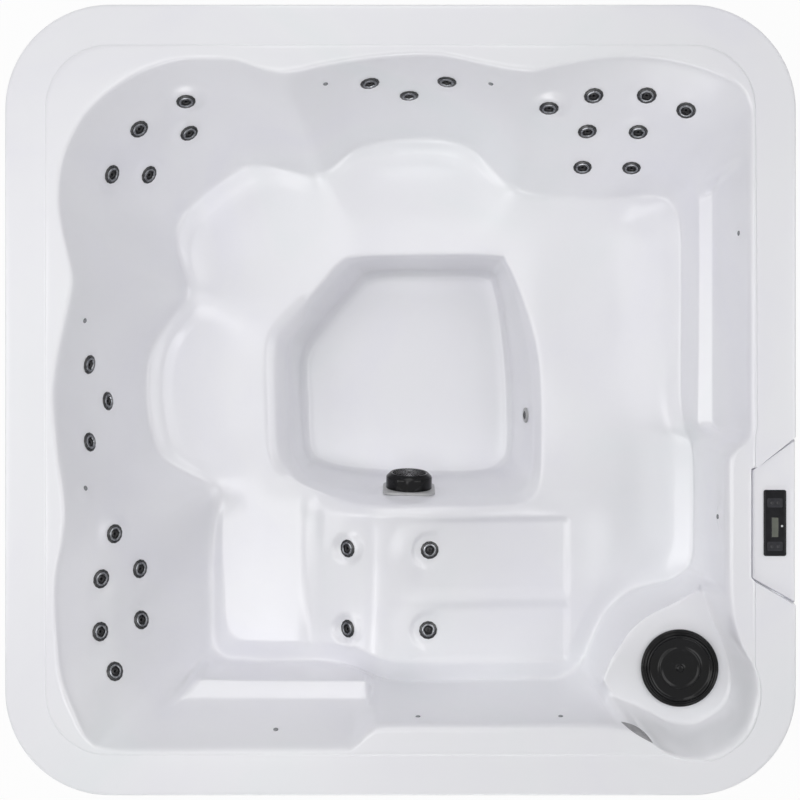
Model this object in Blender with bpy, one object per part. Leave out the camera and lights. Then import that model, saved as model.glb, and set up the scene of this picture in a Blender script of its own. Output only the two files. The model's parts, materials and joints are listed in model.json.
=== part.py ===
"""Square acrylic hot tub: a moulded shell with seats, a lounge and a filter corner, its cabinet and works.

Metres, +Z up. The origin is on the floor under the middle of the tub. +Y points to the back seat and +X to
the side that holds the control panel.
"""

import math

import bmesh
import bpy
import numpy as np
from mathutils import Matrix, Vector
from mathutils.bvhtree import BVHTree

# Overall sizes
TUB_HALF = 1.0
TUB_HEIGHT = 0.80
SHELL_WALL = 0.008
FIT_GAP = 0.0004
CUT_OVERRUN = 0.02

# Lip and rim of the shell
CORNER_RADIUS = 0.265
LIP_DROP = 0.05
LIP_EDGE = 0.012
RIM_EDGE = 0.010
RIM_EDGE_DROP = 0.014

# Recessed pod of the control panel, on the rim at +X
POD_DROP = 0.012
POD_INSET = 0.115
POD_STEP = 0.006

# Depths below the rim, and the height of the footwell's floor above the ground
SEAT_DEPTH = 0.42
FLOOR_HEIGHT = 0.085
LEDGE_DEPTH = 0.12
SIDE_ARMREST_DEPTH = 0.26
LOUNGE_ARMREST_DEPTH = 0.20
WELL_FILLET = 0.035

# The point from which the shell's columns of points fan out, as shares of the half width
FAN_CENTRE_SHARE = (0.024, 0.038)
# Each span of the fan in degrees, with its number of columns: closer at the corners and the filter, and a
# pair of columns at each end of the pod
FAN_SPANS_DEG = (
    (-13.3, 5.0, 4),
    (5.0, 26.0, 5),
    (26.0, 35.5, 3),
    (35.5, 53.5, 7),
    (53.5, 120.0, 14),
    (120.0, 128.3, 2),
    (128.3, 145.8, 7),
    (145.8, 210.0, 14),
    (210.0, 217.0, 2),
    (217.0, 233.8, 6),
    (233.8, 266.0, 8),
    (266.0, 300.0, 9),
    (300.0, 330.1, 13),
    (330.1, 330.8, 1),
    (330.8, 346.0, 4),
    (346.0, 346.7, 1),
)
POD_TURN_DEG = 5.8
POD_TOP_DEG = -13.65
POD_BOTTOM_DEG = -29.55
POD_FADE_DEG = 18.0

# Inner edge of the rim, x and y in shares of the half width
RIM_SHARES = (
    (-0.855, 0.505), (-0.850, 0.580), (-0.830, 0.645), (-0.785, 0.720), (-0.720, 0.780), (-0.645, 0.825),
    (-0.570, 0.850), (-0.495, 0.855), (-0.415, 0.850), (-0.355, 0.830), (-0.305, 0.820), (-0.255, 0.825),
    (-0.190, 0.840), (-0.100, 0.855), (0.000, 0.865), (0.100, 0.865), (0.200, 0.845), (0.275, 0.830),
    (0.340, 0.825), (0.415, 0.840), (0.505, 0.855), (0.605, 0.860), (0.690, 0.850), (0.780, 0.825),
    (0.845, 0.790), (0.875, 0.745), (0.880, 0.680), (0.880, 0.505), (0.880, 0.250), (0.880, 0.000),
    (0.880, -0.070), (0.865, -0.105), (0.835, -0.130), (0.825, -0.165), (0.825, -0.305), (0.825, -0.470),
    (0.830, -0.525), (0.840, -0.570), (0.860, -0.625), (0.885, -0.670), (0.895, -0.720), (0.890, -0.770),
    (0.870, -0.825), (0.825, -0.870), (0.775, -0.895), (0.720, -0.895), (0.675, -0.885), (0.640, -0.865),
    (0.605, -0.835), (0.555, -0.825), (0.500, -0.820), (0.250, -0.820), (-0.030, -0.820), (-0.075, -0.830),
    (-0.115, -0.865), (-0.160, -0.875), (-0.430, -0.875), (-0.710, -0.875), (-0.780, -0.850),
    (-0.820, -0.780), (-0.850, -0.695), (-0.860, -0.605), (-0.865, -0.515), (-0.860, -0.430),
    (-0.845, -0.355), (-0.840, -0.290), (-0.845, -0.225), (-0.855, -0.165), (-0.865, -0.075),
    (-0.870, 0.015), (-0.860, 0.100), (-0.845, 0.175), (-0.830, 0.240), (-0.820, 0.305), (-0.830, 0.365),
    (-0.845, 0.430),
)
# Foot of the walls, where the seats begin: x, y, and the depth as a share of the seats' depth
FOOT_SHARES = (
    (-0.575, 0.305, 0.95), (-0.645, 0.400, 1.00), (-0.640, 0.475, 1.02), (-0.600, 0.545, 1.05),
    (-0.525, 0.610, 1.05), (-0.440, 0.660, 1.05), (-0.340, 0.670, 1.02), (-0.285, 0.645, 1.00),
    (-0.220, 0.615, 0.95), (-0.175, 0.685, 1.00), (-0.110, 0.720, 1.02), (0.000, 0.740, 1.05),
    (0.110, 0.740, 1.05), (0.200, 0.715, 1.02), (0.260, 0.655, 1.00), (0.315, 0.590, 0.95),
    (0.410, 0.575, 1.00), (0.565, 0.570, 1.02), (0.705, 0.580, 1.02), (0.780, 0.570, 0.90),
    (0.800, 0.520, 0.81), (0.805, 0.415, 0.79), (0.805, 0.220, 0.79), (0.805, 0.015, 0.79),
    (0.800, -0.070, 0.83), (0.780, -0.120, 0.93), (0.780, -0.195, 0.98), (0.780, -0.340, 0.98),
    (0.780, -0.450, 0.98), (0.750, -0.510, 0.98), (0.655, -0.540, 1.00), (0.580, -0.605, 1.00),
    (0.540, -0.680, 1.00), (0.515, -0.735, 1.00), (0.455, -0.785, 1.00), (0.340, -0.790, 1.00),
    (0.140, -0.795, 1.00), (0.000, -0.795, 1.00), (-0.070, -0.780, 1.00), (-0.155, -0.745, 1.02),
    (-0.285, -0.745, 1.07), (-0.430, -0.745, 1.07), (-0.495, -0.720, 1.07), (-0.530, -0.655, 1.07),
    (-0.535, -0.540, 1.07), (-0.535, -0.425, 1.07), (-0.525, -0.310, 1.05), (-0.505, -0.240, 0.98),
    (-0.595, -0.215, 1.00), (-0.670, -0.170, 1.00), (-0.705, -0.085, 1.02), (-0.720, 0.030, 1.02),
    (-0.705, 0.145, 1.02), (-0.655, 0.230, 1.00),
)
# Top edge of the footwell: x, y, and the depth as a share of the seats' depth
WELL_SHARES = (
    (-0.175, 0.385, 1.02), (-0.130, 0.405, 1.02), (0.000, 0.410, 1.02), (0.255, 0.410, 1.02),
    (0.305, 0.380, 1.02), (0.365, 0.230, 1.02), (0.395, 0.090, 1.02), (0.400, -0.085, 1.02),
    (0.395, -0.225, 1.00), (0.365, -0.280, 0.97), (0.295, -0.295, 0.95), (0.110, -0.295, 0.93),
    (-0.110, -0.290, 0.95), (-0.240, -0.255, 1.00), (-0.310, -0.215, 1.02), (-0.355, -0.155, 1.02),
    (-0.365, 0.000, 1.02), (-0.365, 0.145, 1.02), (-0.340, 0.210, 1.02), (-0.250, 0.300, 1.02),
)
# Edge of the footwell's floor, x and y
FLOOR_SHARES = (
    (-0.145, 0.340), (-0.080, 0.385), (0.090, 0.390), (0.260, 0.385), (0.295, 0.340), (0.320, 0.205),
    (0.335, 0.040), (0.335, -0.145), (0.310, -0.200), (0.240, -0.225), (0.060, -0.230), (-0.125, -0.220),
    (-0.240, -0.195), (-0.285, -0.150), (-0.295, 0.000), (-0.295, 0.130), (-0.250, 0.215),
)
# Filter ledge and armrests: the outer edge against the wall, and the inner edge
LEDGE_OUTER_SHARES = (
    (0.780, -0.470), (0.815, -0.570), (0.845, -0.640), (0.860, -0.700), (0.860, -0.750), (0.840, -0.800),
    (0.795, -0.830), (0.755, -0.845), (0.700, -0.840), (0.650, -0.815), (0.595, -0.790), (0.495, -0.750),
)
LEDGE_INNER_SHARES = (
    (0.785, -0.485), (0.710, -0.530), (0.650, -0.560), (0.605, -0.595), (0.575, -0.635), (0.545, -0.685),
    (0.520, -0.750),
)
SIDE_ARMREST_OUTER_SHARES = ((0.845, -0.110), (0.845, 0.270), (0.845, 0.650))
SIDE_ARMREST_INNER_SHARES = ((0.805, -0.110), (0.810, 0.270), (0.810, 0.650))
LOUNGE_ARMREST_OUTER_SHARES = ((-0.030, -0.795), (-0.320, -0.795), (-0.590, -0.795))
LOUNGE_ARMREST_INNER_SHARES = ((-0.030, -0.750), (-0.320, -0.750), (-0.590, -0.745))
# Each shelf in the wall, with the angles in degrees between which it stands and the width of its fade
SHELVES = (
    (LEDGE_OUTER_SHARES, LEDGE_INNER_SHARES, LEDGE_DEPTH, -56.6, -35.4, 2.6),
    (SIDE_ARMREST_OUTER_SHARES, SIDE_ARMREST_INNER_SHARES, SIDE_ARMREST_DEPTH, -6.0, 30.0, 5.0),
    (LOUNGE_ARMREST_OUTER_SHARES, LOUNGE_ARMREST_INNER_SHARES, LOUNGE_ARMREST_DEPTH, -124.5, -98.5, 3.5),
)
WALL_UPPER_SHARE = 0.32
WALL_LOWER_SHARE = 0.68

# Dishes of the seats and rises of the lounge: place and half sizes in shares of the half width, turn in
# degrees, and height, which is negative for a dish
DISH_DEPTH = 0.022
BUCKET_DEPTH = 0.018
KNEE_RISE = 0.055
CALF_RIDGE = 0.010
CALF_RECESS = 0.010
DISHES = (
    ((-0.420, 0.440), (0.210, 0.150), 45.0, -DISH_DEPTH),
    ((0.050, 0.580), (0.220, 0.130), 0.0, -DISH_DEPTH),
    ((-0.560, 0.030), (0.140, 0.210), 0.0, -DISH_DEPTH),
    ((0.590, 0.280), (0.190, 0.270), 0.0, -DISH_DEPTH),
    ((-0.400, -0.520), (0.150, 0.230), 0.0, -BUCKET_DEPTH),
)
KNEE_START_SHARE = -0.250
KNEE_TOP_SHARE = -0.060
CALF_END_SHARE = 0.475
CALF_MIDDLE_SHARE = -0.555
CALF_HALF_SHARE = 0.215
CALF_EDGE_SHARE = 0.025
LOUNGE_EDGE_SHARE = 0.08
SEAT_STEP_SHARES = (0.13, 0.36, 0.62, 0.87)

# Jets: a turning face on the wet side, whose stem goes through the shell to a fixed body behind it
JET_FACE_RADIUS = 0.0255
JET_FACE_THICKNESS = 0.0055
JET_EDGE_THICKNESS = 0.002
JET_NOZZLE_RADIUS = 0.012
JET_NOZZLE_DEPTH = 0.003
JET_STEM_RADIUS = 0.015
JET_STEM_REACH = 0.026
JET_HOLE_RADIUS = 0.0165
JET_BODY_RADIUS = 0.021
JET_BODY_LENGTH = 0.040
JET_SIDES = 10
JET_BODY_SIDES = 8
# Places of the jets seen from above, as shares of the half width, for each manifold
JET_SEAT_SHARES = {
    "captain": {
        "captain_seat_jet": (
            (0.388, 0.765), (0.501, 0.791), (0.638, 0.790), (0.743, 0.754), (0.499, 0.718), (0.633, 0.715),
            (0.501, 0.641), (0.634, 0.638),
        ),
    },
    "back": {"back_seat_jet": ((-0.080, 0.825), (0.023, 0.811), (0.121, 0.830))},
    "corner": {
        "corner_seat_jet": (
            (-0.562, 0.785), (-0.685, 0.710), (-0.570, 0.720), (-0.760, 0.594), (-0.683, 0.611),
        ),
    },
    "left": {"left_seat_jet": ((-0.815, 0.093), (-0.789, -0.003), (-0.813, -0.110))},
    "lounge": {
        "lounge_back_jet": (
            (-0.749, -0.350), (-0.780, -0.465), (-0.699, -0.452), (-0.781, -0.602), (-0.696, -0.589),
            (-0.746, -0.708),
        ),
        "lounge_leg_jet": ((-0.143, -0.414), (-0.143, -0.640), (0.081, -0.418), (0.077, -0.643)),
    },
}
# The two jets under the knees lean further to the seat than the surface that they stand on
LEANING_JETS = ("lounge_leg_jet_1", "lounge_leg_jet_2")
JET_LEAN_DEG = 14.0

# Places under a fitting's flange where the surface is tested: shares of its radius, and places in each ring
SEAT_TEST_SHARES = (0.5, 0.75, 1.0)
SEAT_TESTS = 48

# Manifolds: a header pipe round the tub behind the shell, with a branch to each jet
HEADER_INSET = 0.090
HEADER_RADIUS = 0.018
HEADER_DEPTH = 0.200
HEADER_SIDES = 8
BRANCH_RADIUS = 0.009
BRANCH_SIDES = 6
BRANCH_END_SHARE = 0.08
HEADER_SPANS_DEG = {
    "captain": (14.0, 71.0),
    "back": (71.0, 112.0),
    "corner": (112.0, 158.0),
    "left": (158.0, 199.0),
    "lounge": (199.0, 236.0),
}
HEADER_STEP_DEG = 9.0
HEADER_BREAK = 0.002
LEG_HEADER_DROP = 0.080

# Perimeter lights: a lens on a stem through the wall, all on one cable
LIGHT_DEPTH = 0.075
LIGHT_LENS_RADIUS = 0.0045
LIGHT_LENS_THICKNESS = 0.0025
LIGHT_STEM_RADIUS = 0.003
LIGHT_HOLE_RADIUS = 0.0036
LIGHT_STEM_REACH = 0.030
LIGHT_CABLE_RADIUS = 0.0035
LIGHT_SIDES = 6
LIGHT_CABLE_SIDES = 5
LIGHT_PLACE_SHARES = (
    (-0.811, 0.204), (-0.811, -0.227), (-0.324, -0.856), (0.045, -0.814), (0.411, -0.811),
    (0.819, -0.301), (0.872, 0.430), (0.235, 0.823), (-0.194, 0.817),
)
LIGHT_CABLE_INSET = 0.075

# Control panel in the pod: how far its centre is from the tub's edge, and where it is along that edge
PANEL_INSET = 0.053
PANEL_PLACE_SHARE = -0.311
PANEL_WIDTH = 0.0567
PANEL_LENGTH = 0.1673
PANEL_THICKNESS = 0.004
PANEL_BODY_MARGIN = 0.006
PANEL_BODY_DEPTH = 0.028
WINDOW_WIDTH = 0.0157
WINDOW_LENGTH = 0.0493
WINDOW_SHIFT = 0.011
WINDOW_THICKNESS = 0.0015
BUTTON_RADIUS = 0.0055
BUTTON_HEIGHT = 0.0045
BUTTON_TRAVEL = 0.001
BUTTON_POCKET = 0.004
BUTTON_SIDES = 12
BUTTON_SPREAD = 0.0155
BUTTON_UPPER = 0.0513
BUTTON_LOWER = 0.0590

# Filter in the corner ledge
FILTER_PLACE_SHARE = (0.727, -0.698)
LID_RADIUS = 0.101
LID_THICKNESS = 0.010
LID_RING = 0.010
LID_KNOB_RADIUS = 0.008
LID_KNOB_HEIGHT = 0.003
LID_SPIGOT = 0.014
LID_SPIGOT_WALL = 0.004
CANISTER_FLANGE_RADIUS = 0.099
CANISTER_FLANGE_THICKNESS = 0.003
CANISTER_RADIUS = 0.086
CANISTER_WALL = 0.004
CANISTER_DEPTH = 0.300
CARTRIDGE_RADIUS = 0.068
CARTRIDGE_LENGTH = 0.250
CARTRIDGE_HANDLE_RADIUS = 0.020
CARTRIDGE_HANDLE_HEIGHT = 0.012
FILTER_SIDES = 24
HOSE_RADIUS = 0.024
HOSE_BEND = 0.070
HOSE_SIDES = 8

# Suction in the footwell's near wall, and the return fitting in its right wall. Each drop is from the seats
SUCTION_DROP = 0.075
SUCTION_FLANGE_RADIUS = 0.074
SUCTION_FLANGE_THICKNESS = 0.007
SUCTION_SPIGOT_RADIUS = 0.026
SUCTION_COVER_RADIUS = 0.066
SUCTION_COVER_DEPTH = 0.045
SUCTION_COVER_EDGE = 0.012
SUCTION_SIDES = 20
RETURN_DROP = 0.115
RETURN_ANGLE_DEG = -13.5
RETURN_RADIUS = 0.0215
RETURN_THICKNESS = 0.005
RETURN_STEM_RADIUS = 0.013
RETURN_SIDES = 12

# Cabinet, frame and base
BASE_THICKNESS = 0.030
BASE_INSET = 0.016
CABINET_INSET = 0.014
CABINET_WALL = 0.012
CABINET_TOP_DROP = 0.020
CABINET_SEAM = 0.003
FRAME_INSET = 0.0265
FRAME_SECTION = 0.036
FRAME_TOP = 0.0004
CORNER_STEPS = 6
POST_SHARES = (-0.45, 0.45)

# Pump, heater and control box under the captain's seat: the pump stands clear of the base, and the heater of
# the motor
PUMP_PLACE_SHARE = (0.640, -0.270)
PUMP_CLEARANCE = 0.020
VOLUTE_RADIUS = 0.085
VOLUTE_LENGTH = 0.060
MOTOR_RADIUS = 0.070
MOTOR_LENGTH = 0.220
PORT_RADIUS = 0.026
PORT_LENGTH = 0.045
FOOT_WIDTH = 0.120
FOOT_END_SHARE = 0.75
ROTOR_RADIUS = 0.050
ROTOR_THICKNESS = 0.010
ROTOR_HUB_RADIUS = 0.012
ROTOR_HUB_LENGTH = 0.008
HEATER_CLEARANCE = 0.042
HEATER_RADIUS = 0.031
HEATER_FLANGE_RADIUS = 0.038
HEATER_FLANGE = 0.010
HEATER_LENGTH = 0.360
CONTROL_BOX_SIZE = (0.240, 0.260, 0.110)
CONTROL_BOX_PLACE_SHARE = (0.640, 0.420)
GLAND_RADIUS = 0.012
GLAND_LENGTH = 0.025
EQUIPMENT_SIDES = 16

# Drain valve in the front panel
DRAIN_PLACE_SHARE = 0.550
DRAIN_HEIGHT = 0.100
DRAIN_RADIUS = 0.016
DRAIN_FLANGE_RADIUS = 0.024
DRAIN_FLANGE = 0.003
DRAIN_TAIL = 0.060
DRAIN_CAP_RADIUS = 0.021
DRAIN_CAP_THICKNESS = 0.008
DRAIN_GRIP_WIDTH = 0.006
DRAIN_GRIP_LENGTH = 0.034

# Colours and finishes: base colour, roughness, metallic value
ACRYLIC_WHITE = ((0.86, 0.87, 0.89), 0.12, 0.0)
JET_BLACK = ((0.03, 0.032, 0.035), 0.30, 0.0)
PIPE_WHITE = ((0.80, 0.80, 0.78), 0.45, 0.0)
CABLE_BLACK = ((0.02, 0.02, 0.02), 0.60, 0.0)
PANEL_BLACK = ((0.022, 0.022, 0.026), 0.25, 0.0)
WINDOW_GREY = ((0.07, 0.075, 0.06), 0.10, 0.0)
BUTTON_GREY = ((0.05, 0.05, 0.055), 0.45, 0.0)
LID_BLACK = ((0.012, 0.013, 0.012), 0.12, 0.0)
CARTRIDGE_CREAM = ((0.75, 0.74, 0.68), 0.80, 0.0)
FITTING_GREY = ((0.34, 0.35, 0.36), 0.40, 0.0)
CABINET_GREY = ((0.16, 0.15, 0.145), 0.55, 0.0)
FRAME_STEEL = ((0.55, 0.56, 0.58), 0.40, 0.9)
BASE_BLACK = ((0.03, 0.03, 0.03), 0.60, 0.0)
PUMP_BLACK = ((0.04, 0.04, 0.045), 0.50, 0.0)
HEATER_STEEL = ((0.62, 0.63, 0.64), 0.25, 1.0)
BOX_GREY = ((0.30, 0.31, 0.32), 0.50, 0.0)


def clear_scene():
    for old in list(bpy.data.objects):
        bpy.data.objects.remove(old, do_unlink=True)


def material(name, finish):
    """A plain plastic or metal of the given colour."""
    colour, roughness, metallic = finish
    made = bpy.data.materials.get(name) or bpy.data.materials.new(name)
    made.use_nodes = True
    shader = made.node_tree.nodes["Principled BSDF"]
    shader.inputs["Base Color"].default_value = (*colour, 1.0)
    shader.inputs["Roughness"].default_value = roughness
    shader.inputs["Metallic"].default_value = metallic
    return made


def smoothstep(value, low, high):
    t = np.clip((value - low) / (high - low), 0.0, 1.0)
    return t * t * (3.0 - 2.0 * t)


def spline_points(points, closed, steps=8):
    """A Catmull-Rom curve through the points."""
    points = np.array(points, dtype=float)
    if closed:
        ends = np.vstack([points[-1:], points, points[:2]])
    else:
        ends = np.vstack([2 * points[:1] - points[1:2], points, 2 * points[-1:] - points[-2:-1]])
    curve = []
    for i in range(len(ends) - 3):
        before, start, end, after = ends[i : i + 4]
        for t in np.arange(steps) / steps:
            curve.append(
                0.5
                * (
                    2 * start
                    + (end - before) * t
                    + (2 * before - 5 * start + 4 * end - after) * t**2
                    + (3 * start - before - 3 * end + after) * t**3
                )
            )
    if not closed:
        curve.append(points[-1])
    return np.array(curve)


def fan_centre():
    return np.array(FAN_CENTRE_SHARE) * TUB_HALF


def polar(curve, angles, closed=True):
    """The distance from the fan's centre to the curve along each angle, and the curve's further columns."""
    away = curve[:, :2] - fan_centre()
    turn = np.arctan2(away[:, 1], away[:, 0])
    middle = 0.0 if closed else turn[len(turn) // 2]
    turn = (turn - middle + math.pi) % (2 * math.pi) - math.pi
    wanted = (np.asarray(angles) - middle + math.pi) % (2 * math.pi) - math.pi
    order = np.argsort(turn)
    if closed:
        order = np.concatenate([order[-1:], order, order[:1]])
    turn = turn[order]
    if closed:
        turn[0] -= 2 * math.pi
        turn[-1] += 2 * math.pi
    wanted = np.clip(wanted, turn[0], turn[-1])
    after = np.clip(np.searchsorted(turn, wanted), 1, len(turn) - 1)
    start, end = order[after - 1], order[after]
    near = np.hypot(*away[start].T) * np.sin(wanted - turn[after - 1])
    far = np.hypot(*away[end].T) * np.sin(turn[after] - wanted)
    share = near / np.maximum(near + far, np.finfo(float).tiny)
    place = away[start] + (away[end] - away[start]) * share[:, None]
    extra = curve[start, 2:] + (curve[end, 2:] - curve[start, 2:]) * share[:, None]
    return [np.hypot(*place.T), *extra.T]


def outline(inset, angles):
    """Distance from the fan's centre to the tub's rounded square, drawn in by inset."""
    half = TUB_HALF - inset
    radius = CORNER_RADIUS - inset
    corner = half - radius
    points = []
    for quarter in range(4):
        middle = Matrix.Rotation(quarter * math.pi / 2, 2) @ Vector((corner, corner))
        for step in range(25):
            turn = quarter * math.pi / 2 + step / 24 * math.pi / 2
            points.append((middle.x + radius * math.cos(turn), middle.y + radius * math.sin(turn)))
    return polar(np.array(points), angles)[0]


def lounge_relief(x, y):
    """Rise of the lounge's knee and calf rest over the plain seat, for places in shares of the half width."""
    knee = smoothstep(x, KNEE_START_SHARE, KNEE_TOP_SHARE)
    fall = 1.0 - 0.75 * smoothstep(x, KNEE_TOP_SHARE, CALF_END_SHARE)
    inner_edge = CALF_MIDDLE_SHARE + CALF_HALF_SHARE
    across = smoothstep(y, inner_edge + LOUNGE_EDGE_SHARE, inner_edge)
    end = smoothstep(x, CALF_END_SHARE + LOUNGE_EDGE_SHARE, CALF_END_SHARE)
    rise = KNEE_RISE * knee * fall * across * end
    inside = smoothstep(x, KNEE_TOP_SHARE, KNEE_TOP_SHARE + 2 * LOUNGE_EDGE_SHARE)
    inside = inside * smoothstep(x, CALF_END_SHARE, CALF_END_SHARE - CALF_EDGE_SHARE)
    away = np.abs(y - CALF_MIDDLE_SHARE)
    inside = inside * smoothstep(away, CALF_HALF_SHARE, CALF_HALF_SHARE - CALF_EDGE_SHARE)
    ridge = smoothstep(away, 2 * CALF_EDGE_SHARE, 0.0)
    return rise + inside * (CALF_RIDGE * ridge - CALF_RECESS)


def seat_relief(x, y):
    """Dishes of the seats, in metres, for places in shares of the half width."""
    height = np.zeros_like(x)
    for (middle_x, middle_y), (half_x, half_y), turn, rise in DISHES:
        cosine, sine = math.cos(math.radians(turn)), math.sin(math.radians(turn))
        along = ((x - middle_x) * cosine + (y - middle_y) * sine) / half_x
        across = ((y - middle_y) * cosine - (x - middle_x) * sine) / half_y
        height += rise * smoothstep(np.hypot(along, across), 1.0, 0.25)
    return height + lounge_relief(x, y)


def fan_angles():
    """The nominal angle of each column of points."""
    angles = []
    for start, end, count in FAN_SPANS_DEG:
        angles.extend(start + (end - start) * np.arange(count) / count)
    return np.radians(np.array(angles))


def pod_columns(angles):
    """For each column, whether it lies in the pod, and how far it leans towards the pod's wide mouth."""
    degrees = (np.degrees(angles) + 180.0) % 360.0 - 180.0
    inside = (degrees < POD_TOP_DEG) & (degrees > POD_BOTTOM_DEG)
    above = smoothstep(degrees, POD_TOP_DEG + POD_FADE_DEG, POD_TOP_DEG)
    below = smoothstep(degrees, POD_BOTTOM_DEG, POD_TOP_DEG)
    lean = np.where(degrees > POD_TOP_DEG, above, below)
    return inside, np.radians(POD_TURN_DEG) * lean


def shell_rings(angles):
    """The shell's wet side as rings of turn, reach and height, from the lip's lower edge to the floor."""
    top = np.zeros_like(angles)
    in_pod, lean = pod_columns(angles)
    sunk = np.where(in_pod, -POD_DROP, 0.0)
    rim = polar(spline_points(np.array(RIM_SHARES) * TUB_HALF, True), angles)[0]
    foot, foot_share = polar(spline_points(FOOT_SHARES, True), angles)
    foot = foot * TUB_HALF
    foot_depth = foot_share * SEAT_DEPTH
    well, well_share = polar(spline_points(WELL_SHARES, True), angles)
    well = well * TUB_HALF
    well_depth = well_share * SEAT_DEPTH
    floor = polar(spline_points(np.array(FLOOR_SHARES) * TUB_HALF, True), angles)[0]

    rings = [
        (angles + lean, outline(0.0, angles + lean), sunk - LIP_DROP),
        (angles + lean, outline(0.0, angles + lean), sunk - LIP_EDGE),
        (angles + lean, outline(LIP_EDGE, angles + lean), sunk),
    ]
    pod_outer = np.maximum(outline(POD_INSET - POD_STEP, angles), rim + RIM_EDGE + 2 * POD_STEP)
    pod_inner = np.maximum(outline(POD_INSET, angles), rim + RIM_EDGE + POD_STEP)
    rings.append((angles, pod_outer, sunk))
    rings.append((angles, pod_inner, top))
    rings.append((angles, rim + RIM_EDGE, top))
    rings.append((angles, rim, top - RIM_EDGE_DROP))

    upper = rim + (foot - rim) * WALL_UPPER_SHARE
    upper_depth = foot_depth * WALL_UPPER_SHARE
    lower = rim + (foot - rim) * WALL_LOWER_SHARE
    lower_depth = foot_depth * WALL_LOWER_SHARE
    degrees = (np.degrees(angles) + 180.0) % 360.0 - 180.0
    for outer_shares, inner_shares, depth, start, end, fade in SHELVES:
        outer = polar(spline_points(np.array(outer_shares) * TUB_HALF, False), angles, False)[0]
        inner = polar(spline_points(np.array(inner_shares) * TUB_HALF, False), angles, False)[0]
        weight = smoothstep(degrees, start - fade, start) * smoothstep(degrees, end + fade, end)
        upper = upper + (outer - upper) * weight
        upper_depth = upper_depth + (depth - upper_depth) * weight
        lower = lower + (inner - lower) * weight
        lower_depth = lower_depth + (depth - lower_depth) * weight
    rings.append((angles, upper, -upper_depth))
    rings.append((angles, lower, -lower_depth))
    rings.append((angles, foot, -foot_depth))

    for share in SEAT_STEP_SHARES:
        reach = foot + (well - foot) * share
        at_foot = (foot_depth - SEAT_DEPTH) * (1.0 - share) ** 3
        at_well = (well_depth - SEAT_DEPTH) * share**3
        height = -(SEAT_DEPTH + at_foot + at_well)
        x = (fan_centre()[0] + reach * np.cos(angles)) / TUB_HALF
        y = (fan_centre()[1] + reach * np.sin(angles)) / TUB_HALF
        rings.append((angles, reach, height + seat_relief(x, y)))
    x = (fan_centre()[0] + well * np.cos(angles)) / TUB_HALF
    y = (fan_centre()[1] + well * np.sin(angles)) / TUB_HALF
    well_height = seat_relief(x, y) - well_depth
    rings.append((angles, well, well_height))
    bottom = FLOOR_HEIGHT - TUB_HEIGHT
    rings.append((angles, well + (floor - well) * WALL_UPPER_SHARE, well_height - WELL_FILLET))
    rings.append((angles, floor, top + bottom + WELL_FILLET))
    rings.append((angles, floor - WELL_FILLET, top + bottom))
    return rings


def shell_surface():
    """The wet side of the shell as one open mesh."""
    angles = fan_angles()
    centre = fan_centre()
    mesh = bmesh.new()
    rows = []
    for turn, reach, height in shell_rings(angles):
        places = zip(
            centre[0] + reach * np.cos(turn), centre[1] + reach * np.sin(turn), TUB_HEIGHT + height
        )
        rows.append([mesh.verts.new(place) for place in places])
    columns = len(angles)
    for outer, inner in zip(rows, rows[1:]):
        for i in range(columns):
            j = (i + 1) % columns
            mesh.faces.new((outer[i], outer[j], inner[j], inner[i]))
    middle = mesh.verts.new((*centre, FLOOR_HEIGHT))
    for i in range(columns):
        mesh.faces.new((rows[-1][i], rows[-1][(i + 1) % columns], middle))
    bmesh.ops.recalc_face_normals(mesh, faces=mesh.faces)
    bmesh.ops.triangulate(mesh, faces=mesh.faces)
    return mesh


def add_object(name, mesh, finish_name, finish, smooth=True):
    """Makes a mesh object of the bmesh, with its material and smooth round sides."""
    data = bpy.data.meshes.new(name)
    mesh.to_mesh(data)
    mesh.free()
    if smooth:
        data.shade_smooth()
        data.set_sharp_from_angle(angle=math.radians(40.0))
    data.materials.append(material(finish_name, finish))
    made = bpy.data.objects.new(name, data)
    bpy.context.scene.collection.objects.link(made)
    return made


def turned(profile, sides, place=None):
    """A closed solid of revolution. The profile's points are (radius, height), from axis to axis."""
    mesh = bmesh.new()
    rings = []
    for radius, height in profile:
        if radius == 0:
            rings.append([mesh.verts.new((0, 0, height))])
            continue
        turns = [2 * math.pi * i / sides for i in range(sides)]
        rings.append([mesh.verts.new((radius * math.cos(t), radius * math.sin(t), height)) for t in turns])
    for lower, upper in zip(rings, rings[1:]):
        for i in range(sides):
            j = (i + 1) % sides
            if len(lower) == 1:
                mesh.faces.new((lower[0], upper[i], upper[j]))
            elif len(upper) == 1:
                mesh.faces.new((lower[i], lower[j], upper[0]))
            else:
                mesh.faces.new((lower[i], lower[j], upper[j], upper[i]))
    bmesh.ops.recalc_face_normals(mesh, faces=mesh.faces)
    if place:
        mesh.transform(place)
    return mesh


def cylinder(radius, low, high, sides, place=None):
    return turned(((0, low), (radius, low), (radius, high), (0, high)), sides, place)


def block(low, high):
    """A box between two corners."""
    mesh = bmesh.new()
    bmesh.ops.create_cube(mesh, size=1.0)
    size = Vector(high) - Vector(low)
    middle = (Vector(high) + Vector(low)) / 2
    mesh.transform(Matrix.Translation(middle) @ Matrix.Diagonal((*size, 1.0)))
    return mesh


def slab(face, width, length, thickness):
    """A flat box under the middle of its top face."""
    half = Vector((width / 2, length / 2, 0))
    return block(face - half - Vector((0, 0, thickness)), face + half)


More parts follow.
